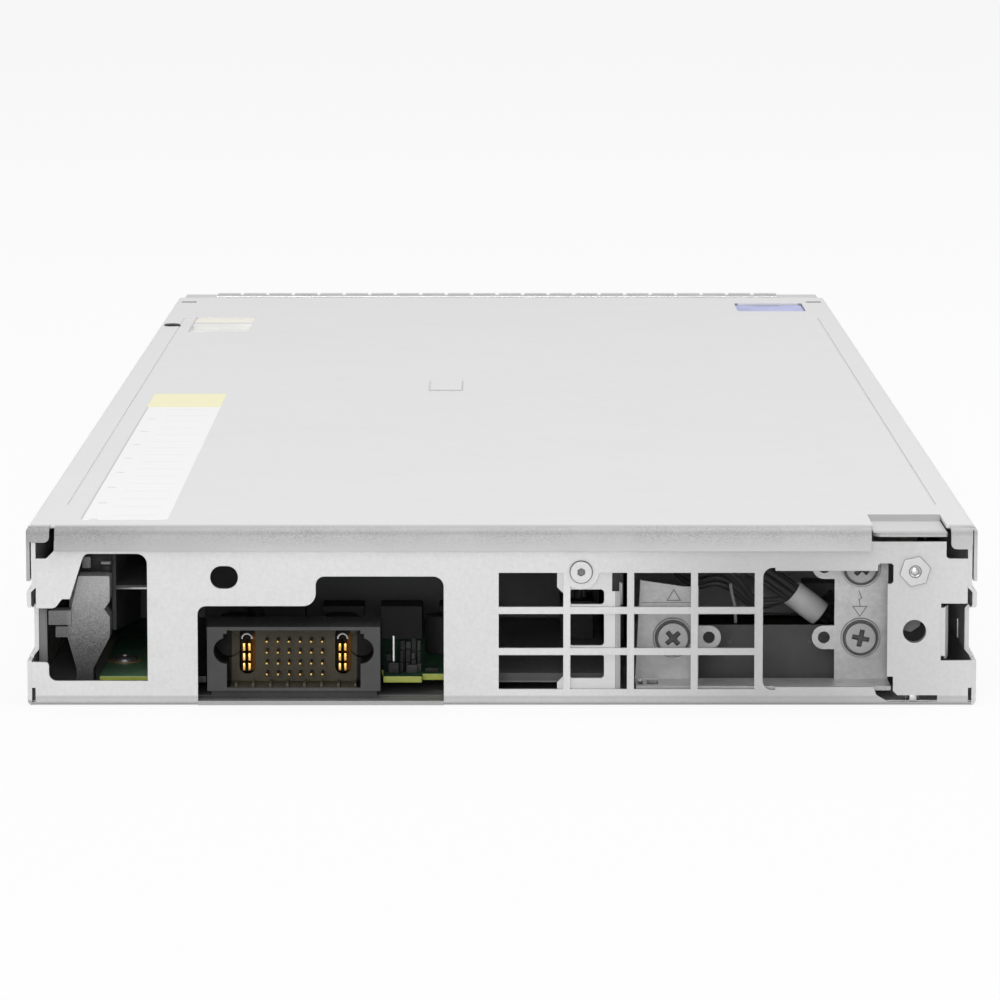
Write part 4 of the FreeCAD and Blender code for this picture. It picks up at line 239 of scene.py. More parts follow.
class Surface(Nodes):
    """A material that is built up in layers of colour."""

    def __init__(self, name, **settings):
        self.material = bpy.data.materials.new(name)
        self.material.use_nodes = True
        super().__init__(self.material.node_tree)
        self.shader = self.tree.nodes["Principled BSDF"]
        self.place = self.add("ShaderNodeTexCoord").outputs["Object"]
        for socket, value in settings.items():
            self.set(socket.replace("_", " "), value)

    def set(self, name, value):
        self.feed(self.shader.inputs[name], value)

    def paint(self, colour):
        """Set the base colour, and keep it for the layers above."""
        self.colour = colour
        self.set("Base Color", colour)

    def layer(self, factor, colour):
        """Lay a colour over the base colour by a factor."""
        self.paint(self.mix(factor, self.colour, colour))

    def mm(self, name):
        """One coordinate in millimetres: X across, D inwards from the wall, Z up."""
        if name == "D":
            from_wall = self.math("SUBTRACT", self.axis("Y", self.place), WALL_Y)
            return self.math("DIVIDE", from_wall, MM)
        return self.math("DIVIDE", self.axis(name, self.place), MM)

    def facing(self, name):
        """How far the surface is square to an axis, from 0 to 1."""
        normal = self.add("ShaderNodeNewGeometry").outputs["Normal"]
        return self.math("ABSOLUTE", self.axis(name, normal))

    def noise(self, scale, detail=3.0, stretch=(1, 1, 1), rough=0.55):
        """Grey noise; stretch multiplies the scale along each axis."""
        mapping = self.add("ShaderNodeMapping", Vector=self.place, Scale=stretch)
        texture = self.add(
            "ShaderNodeTexNoise", Vector=mapping.outputs[0], Scale=scale, Detail=detail, Roughness=rough
        )
        return texture.outputs["Fac"]

    def bump(self, height, depth):
        """Relief of a depth in metres."""
        node = self.add("ShaderNodeBump", Height=height, Distance=depth)
        self.set("Normal", node.outputs[0])


def grey(level):
    return (level, level, level)


def sheet(name, level, rough=0.4, streak=(0.3, 1, 1), spread=0.05, metallic=0.9):
    """Plated or rolled sheet: fine grain along the roll over faint clouds."""
    surface = Surface(name, Metallic=metallic)
    cloud = surface.noise(30, 5.0, rough=0.6)
    grain = surface.noise(1100, 3.0, streak, 0.7)
    tone = surface.math(
        "ADD", surface.span(cloud, 0.3, 0.7, 0.0, 0.35), surface.span(grain, 0.25, 0.75, 0.0, 0.65)
    )
    surface.paint(surface.ramp(tone, (0.0, grey(level * (1 - spread))), (1.0, grey(level * (1 + spread)))))
    surface.set("Roughness", surface.span(surface.noise(120, 4.0), 0.3, 0.7, rough - 0.05, rough + 0.06))
    surface.bump(grain, 0.000008)
    return surface


def front_zinc():
    """The wall's sheet: painted shade along a fold line and on the foot below it, painted shade greying it to
    the right and under the cover's lip at the left, and rubbed smudges.
    """
    surface = sheet("front_zinc", 0.57, 0.45, (1, 1, 1), spread=0.09, metallic=0.35)
    up = surface.mm("Z")
    across = surface.mm("X")
    fold = surface.between(up, 1.8, 2.1, 0.25)
    foot = surface.span(up, 0.05, 0.7, 1.0, 0.45)
    below_fold = surface.span(up, 1.7, 1.9, 1.0, 0.0)
    right = surface.between(across, 35, 90, 18)
    under_lip = surface.both(surface.span(up, 30, 35.5), surface.span(across, -70, -100))
    smear = surface.span(surface.noise(70, 4.0, (0.4, 1, 1.5), 0.65), 0.56, 0.72)
    # painted shade: a dark line along the fold near the foot
    surface.layer(surface.both(fold, 0.6), grey(0.22))
    # painted shade on the foot below the fold
    surface.layer(surface.both(foot, below_fold, 0.72), grey(0.2))
    # painted shade greying the wall towards the right
    surface.layer(surface.both(right, 0.5), grey(0.25))
    # painted shade just below the cover's lip, at the left
    surface.layer(surface.both(under_lip, 0.2), grey(0.25))
    surface.layer(surface.both(smear, 0.16), grey(0.3))
    cut_edge = surface.span(surface.facing("Y"), 0.3, 0.6, 1.0, 0.0)
    surface.layer(surface.both(cut_edge, 0.35), grey(0.2))
    return surface.material


def cover_sheet():
    """Pale cover: painted shade at its front bend, over its lip, along the crease behind its front edge and
    on the flap's slopes and lowered edge, darker towards the left of the lip, with dark rubbed specks along
    the lip.
    """
    surface = sheet("cover_sheet", 0.735, 0.58, (0.15, 1, 1), spread=0.025, metallic=0.25)
    up = surface.mm("Z")
    lip = surface.span(surface.mm("D"), 0.9, 1.2, 1.0, 0.0)
    bend = surface.between(up, 39.2, 40.0, 0.4)
    below = surface.span(up, 35.5, 39.2)
    specks = surface.span(surface.noise(3200, 5.0, (0.6, 1, 1), 0.85), 0.44, 0.62)
    smear = surface.span(surface.noise(30, 4.0, (1, 1, 0.2)), 0.38, 0.62, 0.3, 1.0)
    rubbed = surface.both(lip, surface.span(up, 35.8, 39.2), specks, smear)
    left_end = surface.span(surface.mm("X"), -100, -55, 1.0, 0.0)
    # painted shade at the front bend and over the lip face, darker again towards the top of the lip; the lip
    # is also darker towards its left end
    surface.layer(surface.both(lip, bend, 0.45), grey(0.2))
    surface.layer(surface.both(lip, 0.6), grey(0.33))
    surface.layer(surface.both(lip, left_end, 0.35), grey(0.15))
    surface.layer(surface.both(lip, below, 0.12), grey(0.3))
    surface.layer(surface.both(rubbed, 0.65), grey(0.12))
    # painted shade along the crease just behind the front edge
    crease_shade = surface.between(surface.mm("D"), 1.6, 3.4, 0.5)
    surface.layer(surface.both(crease_shade, surface.facing("Z"), 0.6), grey(0.35))
    # painted shade on the sloped faces behind the lip
    slope = surface.between(surface.facing("Y"), 0.12, 0.9, 0.04)
    behind_lip = surface.span(surface.mm("D"), 2.0, 4.0)
    surface.layer(surface.both(slope, behind_lip, 0.8), grey(0.25))
    # painted shade on the lowered front edge of the flap
    low_flap = surface.both(surface.span(surface.mm("X"), 80, 82), surface.span(up, 40.6, 40.8, 1.0, 0.0))
    surface.layer(surface.both(low_flap, surface.span(surface.mm("D"), 1.5, 3.0), 0.3), grey(0.35))
    shade_cover_cuts(surface)
    return surface.material


def shade_cover_cuts(surface):
    """Shadow round the raised pad in the middle, and in the two slots at the far corners."""
    across = surface.mm("X")
    inwards = surface.mm("D")
    up = surface.mm("Z")
    walls = surface.between(up, COVER_TOP + 0.1, COVER_TOP + 0.3, 0.05)
    near_pad = surface.between(inwards, PAD_START - 7, PAD_END + 7, 1.0)
    surface.layer(surface.both(walls, near_pad, 0.65), grey(0.2))
    from_middle = surface.math("ABSOLUTE", surface.math("SUBTRACT", across, PAD_X))
    sides = surface.between(from_middle, 4.3, 4.9, 0.1)
    along_pad = surface.between(inwards, PAD_START, PAD_END, 0.3)
    surface.layer(surface.both(sides, along_pad, 0.25), grey(0.3))
    corners = surface.between(surface.math("ABSOLUTE", across), 100.8, 106.2, 0.1)
    far_end = surface.span(inwards, 550, 560)
    below_top = surface.span(up, COVER_TOP - 0.3, COVER_TOP - 0.05, 1.0, 0.0)
    surface.layer(surface.both(corners, far_end, below_top), grey(0.03))


def bracket_sheet():
    """Brushed and spotted bracket: painted shade darkening it towards its foot, darker towards its left end,
    and painted light on the upward faces of the foot.
    """
    surface = sheet("bracket_sheet", 0.43, 0.42, (0.8, 1, 1), spread=0.2, metallic=0.6)
    up = surface.mm("Z")
    # painted shade, deepening towards the foot
    surface.layer(surface.span(up, 7, 22, 0.4, 0.0), grey(0.15))
    surface.layer(surface.span(surface.mm("X"), 45, 60, 0.25, 0.0), grey(0.15))
    # painted light on the foot's upward faces
    foot = surface.both(surface.span(up, 4.5, 5.5, 0.8, 0.0), surface.facing("Z"))
    surface.layer(foot, grey(0.75))
    spots = surface.span(surface.noise(160, 5.0, rough=0.7), 0.52, 0.68)
    surface.layer(surface.both(spots, 0.3), grey(0.2))
    return surface.material


def recessed_steel(name, level, face, shadow=0.9):
    """Bright steel whose driver recess, behind the face of the head, lies in shadow."""
    surface = sheet(name, level, 0.42, (1, 1, 1), spread=0.08, metallic=0.7)
    deep = surface.span(surface.mm("D"), face + 0.1, face + 0.35)
    surface.layer(surface.both(deep, shadow), grey(0.03))
    return surface.material


def partition_zinc():
    """The partition's sheet, shaded where its front face folds back."""
    surface = sheet("partition_zinc", 0.52, metallic=0.4)
    across = surface.mm("X")
    surface.layer(surface.both(surface.between(across, 26.05, 27.2, 0.05), 0.6), grey(0.12))
    surface.layer(surface.both(surface.between(across, 25.85, 26.0, 0.05), 0.8), grey(0.03))
    return surface.material


def jack_shell():
    """Tinned shells of the far-end sockets, whose insides are black plastic."""
    surface = sheet("jack_shell", 0.56, 0.28, (1, 0.1, 1))
    inside = surface.span(surface.mm("D"), PANEL_FACE - 0.4, PANEL_FACE - 0.1, 1.0, 0.0)
    surface.layer(inside, grey(0.012))
    return surface.material


def tray_zinc():
    """The tray's sheet, with painted shade along the front edge of its floor behind the wall."""
    surface = sheet("tray_zinc", 0.53, metallic=0.5)
    # painted shade on the front of the floor, left of the foot gap
    front = surface.span(surface.mm("D"), 1, 9, 1.0, 0.0)
    floor = surface.span(surface.mm("Z"), FLOOR_TOP, FLOOR_TOP + 0.3, 1.0, 0.0)
    left_of_gap = surface.span(surface.mm("X"), 84, 86, 1.0, 0.0)
    surface.layer(surface.both(front, floor, left_of_gap, 0.7), grey(0.2))
    return surface.material


def standoff_steel():
    """Hexagonal insert: pale face, with painted shade darkening its sides and hole."""
    surface = sheet("standoff_steel", 0.5, 0.4, (1, 1, 1), spread=0.06, metallic=0.6)
    # painted shade on every face that is not square to the wall
    side = surface.span(surface.facing("Y"), 0.5, 0.9, 1.0, 0.0)
    surface.layer(surface.both(side, 0.75), grey(0.1))
    return surface.material


def moulded_plastic(name, colour, rough=0.45, grain=900, depth=0.00003, spread=0.16, specular=0.5):
    """Moulded plastic: fine spark-eroded grain with a faint unevenness of colour."""
    surface = Surface(name)
    surface.set("Specular IOR Level", specular)
    cloud = surface.noise(60, 4.0)
    low = tuple(part * (1 - spread) for part in colour)
    high = tuple(min(part * (1 + spread), 1.0) for part in colour)
    surface.paint(surface.ramp(cloud, (0.3, low), (0.7, high)))
    texture = surface.noise(grain, 3.0)
    surface.set("Roughness", surface.span(texture, 0.3, 0.7, rough - 0.08, rough + 0.1))
    surface.bump(texture, depth)
    return surface


def plain_plastic(*values, **settings):
    return moulded_plastic(*values, **settings).material


def socket_plastic():
    """Dark grey socket, warmer in its cavity, with painted shade making its guide holes and slots black and
    its top face darker, and a painted amber reflection of the blades on the slot walls beside them.
    """
    surface = moulded_plastic("socket_plastic", grey(0.066), 0.5, specular=0.14)
    inwards = surface.mm("D")
    across = surface.mm("X")
    behind = surface.span(inwards, SOCKET_FACE + 0.3, SOCKET_FACE + 1.5)
    cavity = surface.both(behind, surface.between(surface.mm("Z"), CAVITY_LOW, CAVITY_HIGH, 0.1))
    surface.layer(cavity, (0.085, 0.075, 0.052))
    # painted shade: black in the guide holes at both ends of the cavity
    ends = surface.math("SUBTRACT", 1.0, surface.between(across, *GUIDE_EDGES, 0.1))
    surface.layer(surface.both(ends, cavity), grey(0.006))
    # painted shade: black deep in the blade slots; painted amber reflection of the blades on the wall beside
    # each
    slots = surface.span(inwards, SOCKET_FLOOR + 0.2, SOCKET_FLOOR + 0.6)
    for middle in BLADE_MIDDLES:
        near_blade = surface.between(across, middle - BLADE_SLOT_HALF, middle + BLADE_SLOT_HALF, 0.1)
        surface.layer(surface.both(slots, near_blade), grey(0.006))
        lit_wall = surface.between(across, middle + 0.95, middle + BLADE_SLOT_HALF, 0.15)
        beside_blade = surface.between(surface.mm("Z"), 4.0, 14.0, 0.8)
        surface.layer(surface.both(slots, lit_wall, beside_blade), (0.30, 0.12, 0.02))
    # painted shade on the top face behind the front
    top = surface.span(surface.mm("Z"), CAVITY_HIGH + 0.2, CAVITY_HIGH + 0.4)
    behind_face = surface.span(inwards, SOCKET_FACE + 0.1, SOCKET_FACE + 0.4)
    surface.layer(surface.both(top, behind_face), grey(0.05))
    return surface.material


def gold_contact():
    """Gold-plated contact metal, a little uneven along its length."""
    surface = Surface("gold_contact", Metallic=1.0)
    wear = surface.noise(400, 3.0, (1, 0.3, 1))
    surface.paint(surface.ramp(wear, (0.3, (0.80, 0.44, 0.09)), (0.7, (1.0, 0.68, 0.22))))
    surface.set("Roughness", surface.span(wear, 0.3, 0.7, 0.22, 0.36))
    return surface.material


def pin_gold():
    """Gold of the thin pins, with painted shade dimming them behind the tip."""
    surface = Surface("pin_gold", Metallic=1.0, Roughness=0.35)
    # painted shade: the gold fades to near black behind the tip
    tip = surface.span(surface.mm("D"), 6.55, 7.4, 1.0, 0.0)
    surface.paint(surface.ramp(tip, (0.0, (0.08, 0.05, 0.02)), (1.0, (0.55, 0.35, 0.11))))
    surface.bump(surface.noise(900, 2.0), 0.00002)
    return surface.material


def circuit_board(name, thin, mask, laminate):
    """Board: traces and pads on its faces, cut laminate at the edges square to its thin axis."""
    surface = Surface(name, Roughness=0.38)
    traces = surface.span(surface.noise(260, 2.0, (0.2, 1, 1)), 0.5, 0.54)
    lines = surface.add("ShaderNodeTexBrick", Vector=surface.place, Scale=160.0, Mortar_Size=0.03)
    pads = surface.span(surface.noise(700, 1.0), 0.69, 0.71)
    lighter = tuple(1.7 * part for part in mask)
    surface.paint(surface.mix(traces, mask, lighter))
    surface.layer(surface.both(lines.outputs["Fac"], 0.3), lighter)
    surface.layer(surface.both(pads, 0.6), (0.20, 0.19, 0.16))
    edge = surface.span(surface.facing(thin), 0.4, 0.6, 1.0, 0.0)
    fibre = surface.noise(500, 3.0, (0.3, 1, 1))
    dim = tuple(0.75 * part for part in laminate)
    surface.layer(edge, surface.ramp(fibre, (0.3, dim), (0.7, laminate)))
    surface.bump(traces, 0.00002)
    return surface


def system_board():
    """Green main board, with painted light making it pale in the left window, and black along its edge beside
    the power socket.
    """
    surface = circuit_board("circuit_board", "Z", (0.010, 0.054, 0.024), (0.40, 0.45, 0.05))
    # painted light: paler green on the board's top in the left window
    front = surface.span(surface.mm("D"), 12, 60, 1.0, 0.0)
    left = surface.span(surface.mm("X"), -70, -78)
    surface.layer(surface.both(front, left, surface.facing("Z"), 0.85), (0.20, 0.38, 0.23))
    # black along the board's edge beside the power socket
    dark_strip = surface.between(surface.mm("X"), -76, -60, 0.3)
    surface.layer(dark_strip, grey(0.008))
    return surface.material


def clear_plastic():
    """Light pipe plastic, slightly milky."""
    surface = Surface("clear_plastic", Transmission_Weight=0.7, IOR=1.49)
    haze = surface.noise(500, 3.0)
    surface.paint(surface.ramp(haze, (0.3, (0.80, 0.84, 0.86)), (0.7, (0.93, 0.95, 0.96))))
    surface.set("Roughness", surface.span(haze, 0.3, 0.7, 0.12, 0.3))
    return surface.material


def label_paper():
    """White label with a pale yellow head and faint ruled rows, blank otherwise."""
    surface = Surface("label_paper", Roughness=0.6)
    along = surface.mm("D")
    across = surface.mm("X")
    fibre = surface.noise(1500, 4.0)
    surface.paint(surface.ramp(fibre, (0.3, grey(0.93)), (0.7, grey(0.97))))
    from_row = surface.math("ADD", along, 1.9)
    row = surface.math("FRACT", surface.math("DIVIDE", from_row, LABEL_ROW))
    margin = surface.between(across, LABEL_LEFT + 2, LABEL_LEFT + 4, 0.1)
    dash = surface.both(surface.between(row, 0.48, 0.52, 0.01), margin)
    fine = surface.math("FRACT", surface.math("DIVIDE", from_row, LABEL_ROW / 2))
    rule = surface.both(surface.between(fine, 0.47, 0.53, 0.02), surface.between(across, -90, -79, 0.2))
    surface.layer(surface.both(dash, 0.4), grey(0.3))
    surface.layer(surface.span(across, LABEL_LEFT + 0.2, LABEL_LEFT + 0.5, 0.7, 0.0), grey(0.3))
    surface.layer(surface.both(rule, 0.16), grey(0.35))
    surface.layer(surface.span(along, LABEL_HEAD - 0.3, LABEL_HEAD + 0.3), (0.95, 0.91, 0.60))
    surface.bump(fibre, 0.00001)
    return surface.material


def insert_plastic():
    """Cream insert plate: ribbed along its far edge, whiter at the left and greyer towards the near edge."""
    surface = moulded_plastic("insert_plastic", (0.86, 0.86, 0.83), 0.5)
    along = surface.mm("D")
    surface.layer(surface.span(along, 505, 512), (0.93, 0.89, 0.80))
    surface.layer(surface.both(surface.between(along, 503, 506, 0.5), 0.5), (0.45, 0.43, 0.38))
    near = surface.both(surface.span(along, 478, 500, 1.0, 0.0), surface.span(surface.mm("X"), -98, -90))
    surface.layer(near, grey(0.76))
    return surface.material


def sleeve_plastic():
    """White sleeve, in shade towards its lower end."""
    surface = moulded_plastic("white_sleeve", grey(0.93), 0.5, grain=600, depth=0.00004, spread=0.03)
    surface.layer(surface.span(surface.mm("X"), 70, 77.5, 0.0, 0.65), grey(0.2))
    return surface.material


def dam_plastic():
    """Black air dam, with painted light making it paler on its wall behind the socket."""
    surface = moulded_plastic("dam_plastic", grey(0.09), 0.55, specular=0.2)
    # painted light on the wall behind the socket
    surface.layer(surface.span(surface.mm("D"), 60, 95), grey(0.15))
    return surface.material


def guide_block_plastic():
    """Grainy grey moulding, with painted light making it pale at its top and painted shade making it dark at
    its foot.
    """
    surface = Surface("grey_plastic", Roughness=0.65)
    # painted light and shade: the tone runs from near black at the foot to pale at the top
    height = surface.span(surface.mm("Z"), 6, 28)
    grain = surface.noise(2600, 4.0, rough=0.8)
    speck = surface.span(grain, 0.3, 0.7, -0.2, 0.2)
    tone = surface.math("ADD", height, speck)
    surface.paint(surface.ramp(tone, (0.0, grey(0.012)), (0.3, grey(0.06)), (1.0, grey(0.40))))
    surface.layer(surface.span(surface.mm("X"), -99.5, -98, 0.45, 0.0), grey(0.04))
    surface.bump(grain, 0.00005)
    return surface.material


def make_materials():
    """One material for each slot of the record."""
    return {
        "zinc_sheet": sheet("zinc_sheet", 0.53, metallic=0.5).material,
        "cover_sheet": cover_sheet(),
        "bracket_sheet": bracket_sheet(),
        "bright_steel": sheet("bright_steel", 0.60, 0.3, (1, 1, 0.3)).material,
        "spring_steel": sheet("spring_steel", 0.62, 0.3, (1, 0.2, 1)).material,
        "black_plastic": plain_plastic("black_plastic", grey(0.012), 0.5, specular=0.25),
        "socket_plastic": socket_plastic(),
        "grey_plastic": guide_block_plastic(),
        "gold_contact": gold_contact(),
        "circuit_board": system_board(),
        "blue_plastic": plain_plastic("blue_plastic", (0.46, 0.49, 0.76), 0.5, specular=0.3),
        "cream_plastic": insert_plastic(),
        "white_sleeve": sleeve_plastic(),
        "cable_jacket": plain_plastic("cable_jacket", grey(0.05), 0.45, grain=500, depth=0.00002, spread=0.3),
        "fin_aluminium": sheet("fin_aluminium", 0.55, 0.3, (1, 0.05, 1)).material,
        "drive_case": sheet("drive_case", 0.30, 0.42).material,
        "chip_package": plain_plastic("chip_package", grey(0.02), 0.6, specular=0.2),
        "clear_plastic": clear_plastic(),
        "jack_shell": jack_shell(),
        "lever_steel": sheet("lever_steel", 0.52, 0.36, (0.1, 1, 1)).material,
    }


def node_materials():
    """Materials of the CAD pieces that need more than their slot's."""
    upright = circuit_board("upright_board", "X", (0.006, 0.05, 0.02), (0.3, 0.33, 0.05)).material
    return {
        "front_wall": front_zinc(),
        "tray": tray_zinc(),
        "bracket_support": sheet("support_steel", 0.08, 0.6, metallic=0.2).material,
        "power_inductors": plain_plastic("inductor_body", grey(0.045), 0.6, specular=0.2),
        "bracket_screws": recessed_steel("bracket_screw", 0.28, BRACKET_SCREW_FACE),
        "partition_screw": recessed_steel("partition_screw", 0.5, PARTITION_SCREW_FACE, 0.75),
        "hex_standoff": standoff_steel(),
        "partition_wall": partition_zinc(),
        "signal_pins": pin_gold(),
        "memory_modules": upright,
        "riser_board": upright,
        "drive_cage": sheet("cage_steel", 0.10, 0.5).material,
        # painted light: the backplane and the plug are paler than their black board and plastic, to show in
        # the dark drive bay
        "drive_backplane": plain_plastic("backplane_board", grey(0.32), 0.5),
        "drive_plug": plain_plastic("plug_plastic", grey(0.14), 0.55),
        "front_baffle": dam_plastic(),
    }


def slope_rib():
    """Slope the lower edge of the air dam's rib, so that the board shows below it."""
    dam = nodes["front_baffle"]
    corner = at(*RIB_CORNER)
    foot = [vert.index for vert in dam.data.vertices if all(vert.co[i] < corner[i] for i in range(3))]
    group = dam.vertex_groups.new(name="rib_foot")
    group.add(foot, 1.0, "REPLACE")
    lift = dam.modifiers.new("rib_foot", "DISPLACE")
    lift.direction = "Z"
    lift.mid_level = 0.0
    lift.strength = RIB_LIFT * MM
    lift.vertex_group = group.name


def dress_nodes(materials):
    """Give every CAD piece its material, whole flat faces and fine broken edges."""
    own = node_materials()
    for row in frame["record"]["subparts"]:
        name = row["node"]
        node = nodes[name]
        node.data.materials.clear()
        node.data.materials.append(own.get(name, materials[row["material_slot"]]))
        weld = node.modifiers.new("weld", "WELD")
        weld.merge_threshold = 1e-6
        join = node.modifiers.new("flat_faces", "DECIMATE")
        join.decimate_type = "DISSOLVE"
        join.angle_limit = math.radians(FLAT_ANGLE)
        bevel = node.modifiers.new("edges", "BEVEL")
        bevel.width = EDGE_ROUND * MM
        bevel.segments = 2
        bevel.limit_method = "ANGLE"
        bevel.angle_limit = math.radians(EDGE_ANGLE)
        node.modifiers.new("normals", "WEIGHTED_NORMAL")


def block(bm, low, high, bevel=0.0, slot=0):
    """A block between two corners, with rounded edges."""
    before = set(bm.faces)
    middle = (low + high) / 2
    size = Matrix.Diagonal(high - low).to_4x4()
    made = bmesh.ops.create_cube(bm, size=1.0, matrix=Matrix.Translation(middle) @ size)
    if bevel:
        edges = list({edge for vert in made["verts"] for edge in vert.link_edges})
        bmesh.ops.bevel(bm, geom=edges, offset=bevel * MM, segments=2, profile=0.5, affect="EDGES")
    for face in set(bm.faces) - before:
        face.material_index = slot


def lathe(bm, profile, middle, axis, steps=36, slot=0):
    """A closed profile of (radius, along) points in millimetres, turned about an axis."""
    axis = axis.normalized()
    across = axis.orthogonal().normalized()
    other = axis.cross(across)
    rings = []
    for step in range(steps):
        turn = 2 * math.pi * step / steps
        out = across * math.cos(turn) + other * math.sin(turn)
        rings.append([bm.verts.new(middle + (out * radius + axis * along) * MM) for radius, along in profile])
    count = len(profile)
    for step in range(steps):
        here = rings[step]
        following = rings[(step + 1) % steps]
        for i in range(count):
            j = (i + 1) % count
            face = bm.faces.new((here[i], here[j], following[j], following[i]))
            face.material_index = slot


def prism(bm, outline, run, slot=0):
    """A flat outline of points, thickened along a run."""
    before = set(bm.faces)
    base = bm.faces.new([bm.verts.new(point) for point in outline])
    grown = bmesh.ops.extrude_face_region(bm, geom=[base], use_keep_orig=True)
    moved = [item for item in grown["geom"] if isinstance(item, bmesh.types.BMVert)]
    bmesh.ops.translate(bm, verts=moved, vec=run)
    for face in set(bm.faces) - before:
        face.material_index = slot


def tube(bm, points, radius, sides=10, slot=0):
    """A round tube through points, closed at its ends; its radius is in millimetres."""
    tangents = []
    for i in range(len(points)):
        tangents.append((points[min(i + 1, len(points) - 1)] - points[max(i - 1, 0)]).normalized())
    across = tangents[0].orthogonal().normalized()
    turns = [2 * math.pi * i / sides for i in range(sides)]
    rings = []
    for point, tangent in zip(points, tangents):
        across = (across - tangent * across.dot(tangent)).normalized()
        other = tangent.cross(across)
        ring = [point + (across * math.cos(turn) + other * math.sin(turn)) * radius * MM for turn in turns]
        rings.append([bm.verts.new(place) for place in ring])
    faces = [bm.faces.new(list(reversed(rings[0]))), bm.faces.new(rings[-1])]
    for here, following in zip(rings, rings[1:]):
        for i in range(sides):
            j = (i + 1) % sides
            faces.append(bm.faces.new((here[i], here[j], following[j], following[i])))
    for face in faces:
        face.material_index = slot


def piece(name, bm, materials, body):
    """Turn a mesh into a piece that rides on a body."""
    bmesh.ops.remove_doubles(bm, verts=bm.verts, dist=1e-7)
    bmesh.ops.recalc_face_normals(bm, faces=bm.faces)
    mesh = bpy.data.meshes.new(name)
    bm.to_mesh(mesh)
    bm.free()
    for material in materials:
        mesh.materials.append(material)
    mesh.shade_smooth()
    mesh.set_sharp_from_angle(angle=math.radians(SMOOTH_ANGLE))
    made = bpy.data.objects.new(name, mesh)
    bpy.context.scene.collection.objects.link(made)
    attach(made, body)
    return made


def rounded_plan(left, right, start, end, corner, height):
    """Outline of a rounded rectangle that lies flat at a height."""
    centres = (
        (right - corner, end - corner, 0),
        (left + corner, end - corner, 90),
        (left + corner, start + corner, 180),
        (right - corner, start + corner, 270),
    )
    outline = []
    for x, d, first in centres:
        for step in range(5):
            turn = math.radians(first + 22.5 * step)
            outline.append(at(x + corner * math.cos(turn), d + corner * math.sin(turn), height))
    return outline


def cover_label():
    """Paper label along the left of the cover, with rounded corners."""
    bm = bmesh.new()
    plan = rounded_plan(LABEL_LEFT, LABEL_RIGHT, LABEL_START, LABEL_END, LABEL_CORNER, COVER_TOP)
    prism(bm, plan, UPWARD * LABEL_THICK * MM)
    piece("cover_label", bm, [label_paper()], "cover")


def cover_screw(material):
    """Dark screw near the far left corner of the cover."""
    bm = bmesh.new()
    profile = [(0.0, 0.25), (0.7, 0.25), (0.9, 0.55), (2.2, 0.55), (2.6, 0.3), (2.6, 0.0), (0.0, 0.0)]
    lathe(bm, profile, at(*COVER_SCREW, COVER_TOP), UPWARD, 24)
    piece("cover_screw", bm, [material], "cover")


def screw_rings(bright, dark):
    """Captive rings round the bracket's screws, and painted shadow lines round all heads on this end."""
    bm = bmesh.new()
    ring = [(3.75, 0.0), (3.75, 0.1), (4.2, 0.55), (4.4, 0.55), (4.6, 0.3), (4.6, 0.0)]
    # gap rings in painted shadow
    gap = [(3.45, 0.0), (3.45, 0.12), (3.78, 0.12), (3.78, 0.0)]
    for x, z in BRACKET_SCREWS:
        lathe(bm, ring, at(x, BRACKET_FACE, z), FORWARD)
        lathe(bm, gap, at(x, BRACKET_FACE, z), FORWARD, slot=1)
    x, z = PARTITION_SCREW
    lathe(bm, [(2.45, 0.0), (2.45, 0.1), (2.66, 0.1), (2.66, 0.0)], at(x, 0.3, z), FORWARD, slot=1)
    piece("screw_rings", bm, [bright, dark], "chassis")


def standoff_thread(bright, dark):
    """Chamfer ring in painted shadow, and thread turns, in the hexagonal insert."""
    bm = bmesh.new()
    x, z = STANDOFF
    lathe(bm, [(1.28, -0.2), (1.34, 0.03), (1.46, 0.03), (1.46, -0.2)], at(x, -0.6, z), FORWARD, slot=1)
    for turn in range(6):
        lathe(bm, [(1.28, 0.0), (0.98, 0.2), (1.28, 0.4)], at(x, 0.1 + 0.5 * turn, z), FORWARD, 24)
    lathe(bm, [(0.0, 0.25), (0.5, 0.2), (1.0, 0.0), (1.0, -0.3), (0.0, -0.3)], at(x, 0.1, z), FORWARD, 24)
    piece("standoff_thread", bm, [bright, dark], "chassis")


def stroke(bm, places, width, closed=True):
    """A thin drawn line through (x, z) places on the bracket's face."""
    pairs = list(zip(places, places[1:] + places[:1])) if closed else list(zip(places, places[1:]))
    for (x0, z0), (x1, z1) in pairs:
        run = Vector((x1 - x0, z1 - z0)).normalized() * width / 2
        side = Vector((-run.y, run.x))
        corners = (
            (x0 - run.x + side.x, z0 - run.y + side.y),
            (x0 - run.x - side.x, z0 - run.y - side.y),
            (x1 + run.x - side.x, z1 + run.y - side.y),
            (x1 + run.x + side.x, z1 + run.y + side.y),
        )
        prism(bm, [at(x, BRACKET_FACE, z) for x, z in corners], FORWARD * 0.03 * MM)


def bracket_marks():
    """Stamped triangle and arrow on the bracket's arms, and a line of painted shade along the bend below the
    triangle.
    """
    bm = bmesh.new()
    stroke(bm, [(38.0, 22.4), (41.0, 22.4), (39.5, 24.9)], 0.24)
    stroke(bm, [(80.6, 21.0), (82.2, 18.7), (83.8, 21.0)], 0.22)
    stroke(bm, [(82.3, 21.0), (82.0, 22.6), (82.6, 23.0), (82.0, 24.6)], 0.22, closed=False)
    # painted shade along the bend
    stroke(bm, [(32.0, 21.9), (45.0, 21.9)], 0.14, closed=False)
    piece("bracket_marks", bm, [sheet("stamped_mark_and_bend_shade", 0.16, 0.5).material], "chassis")


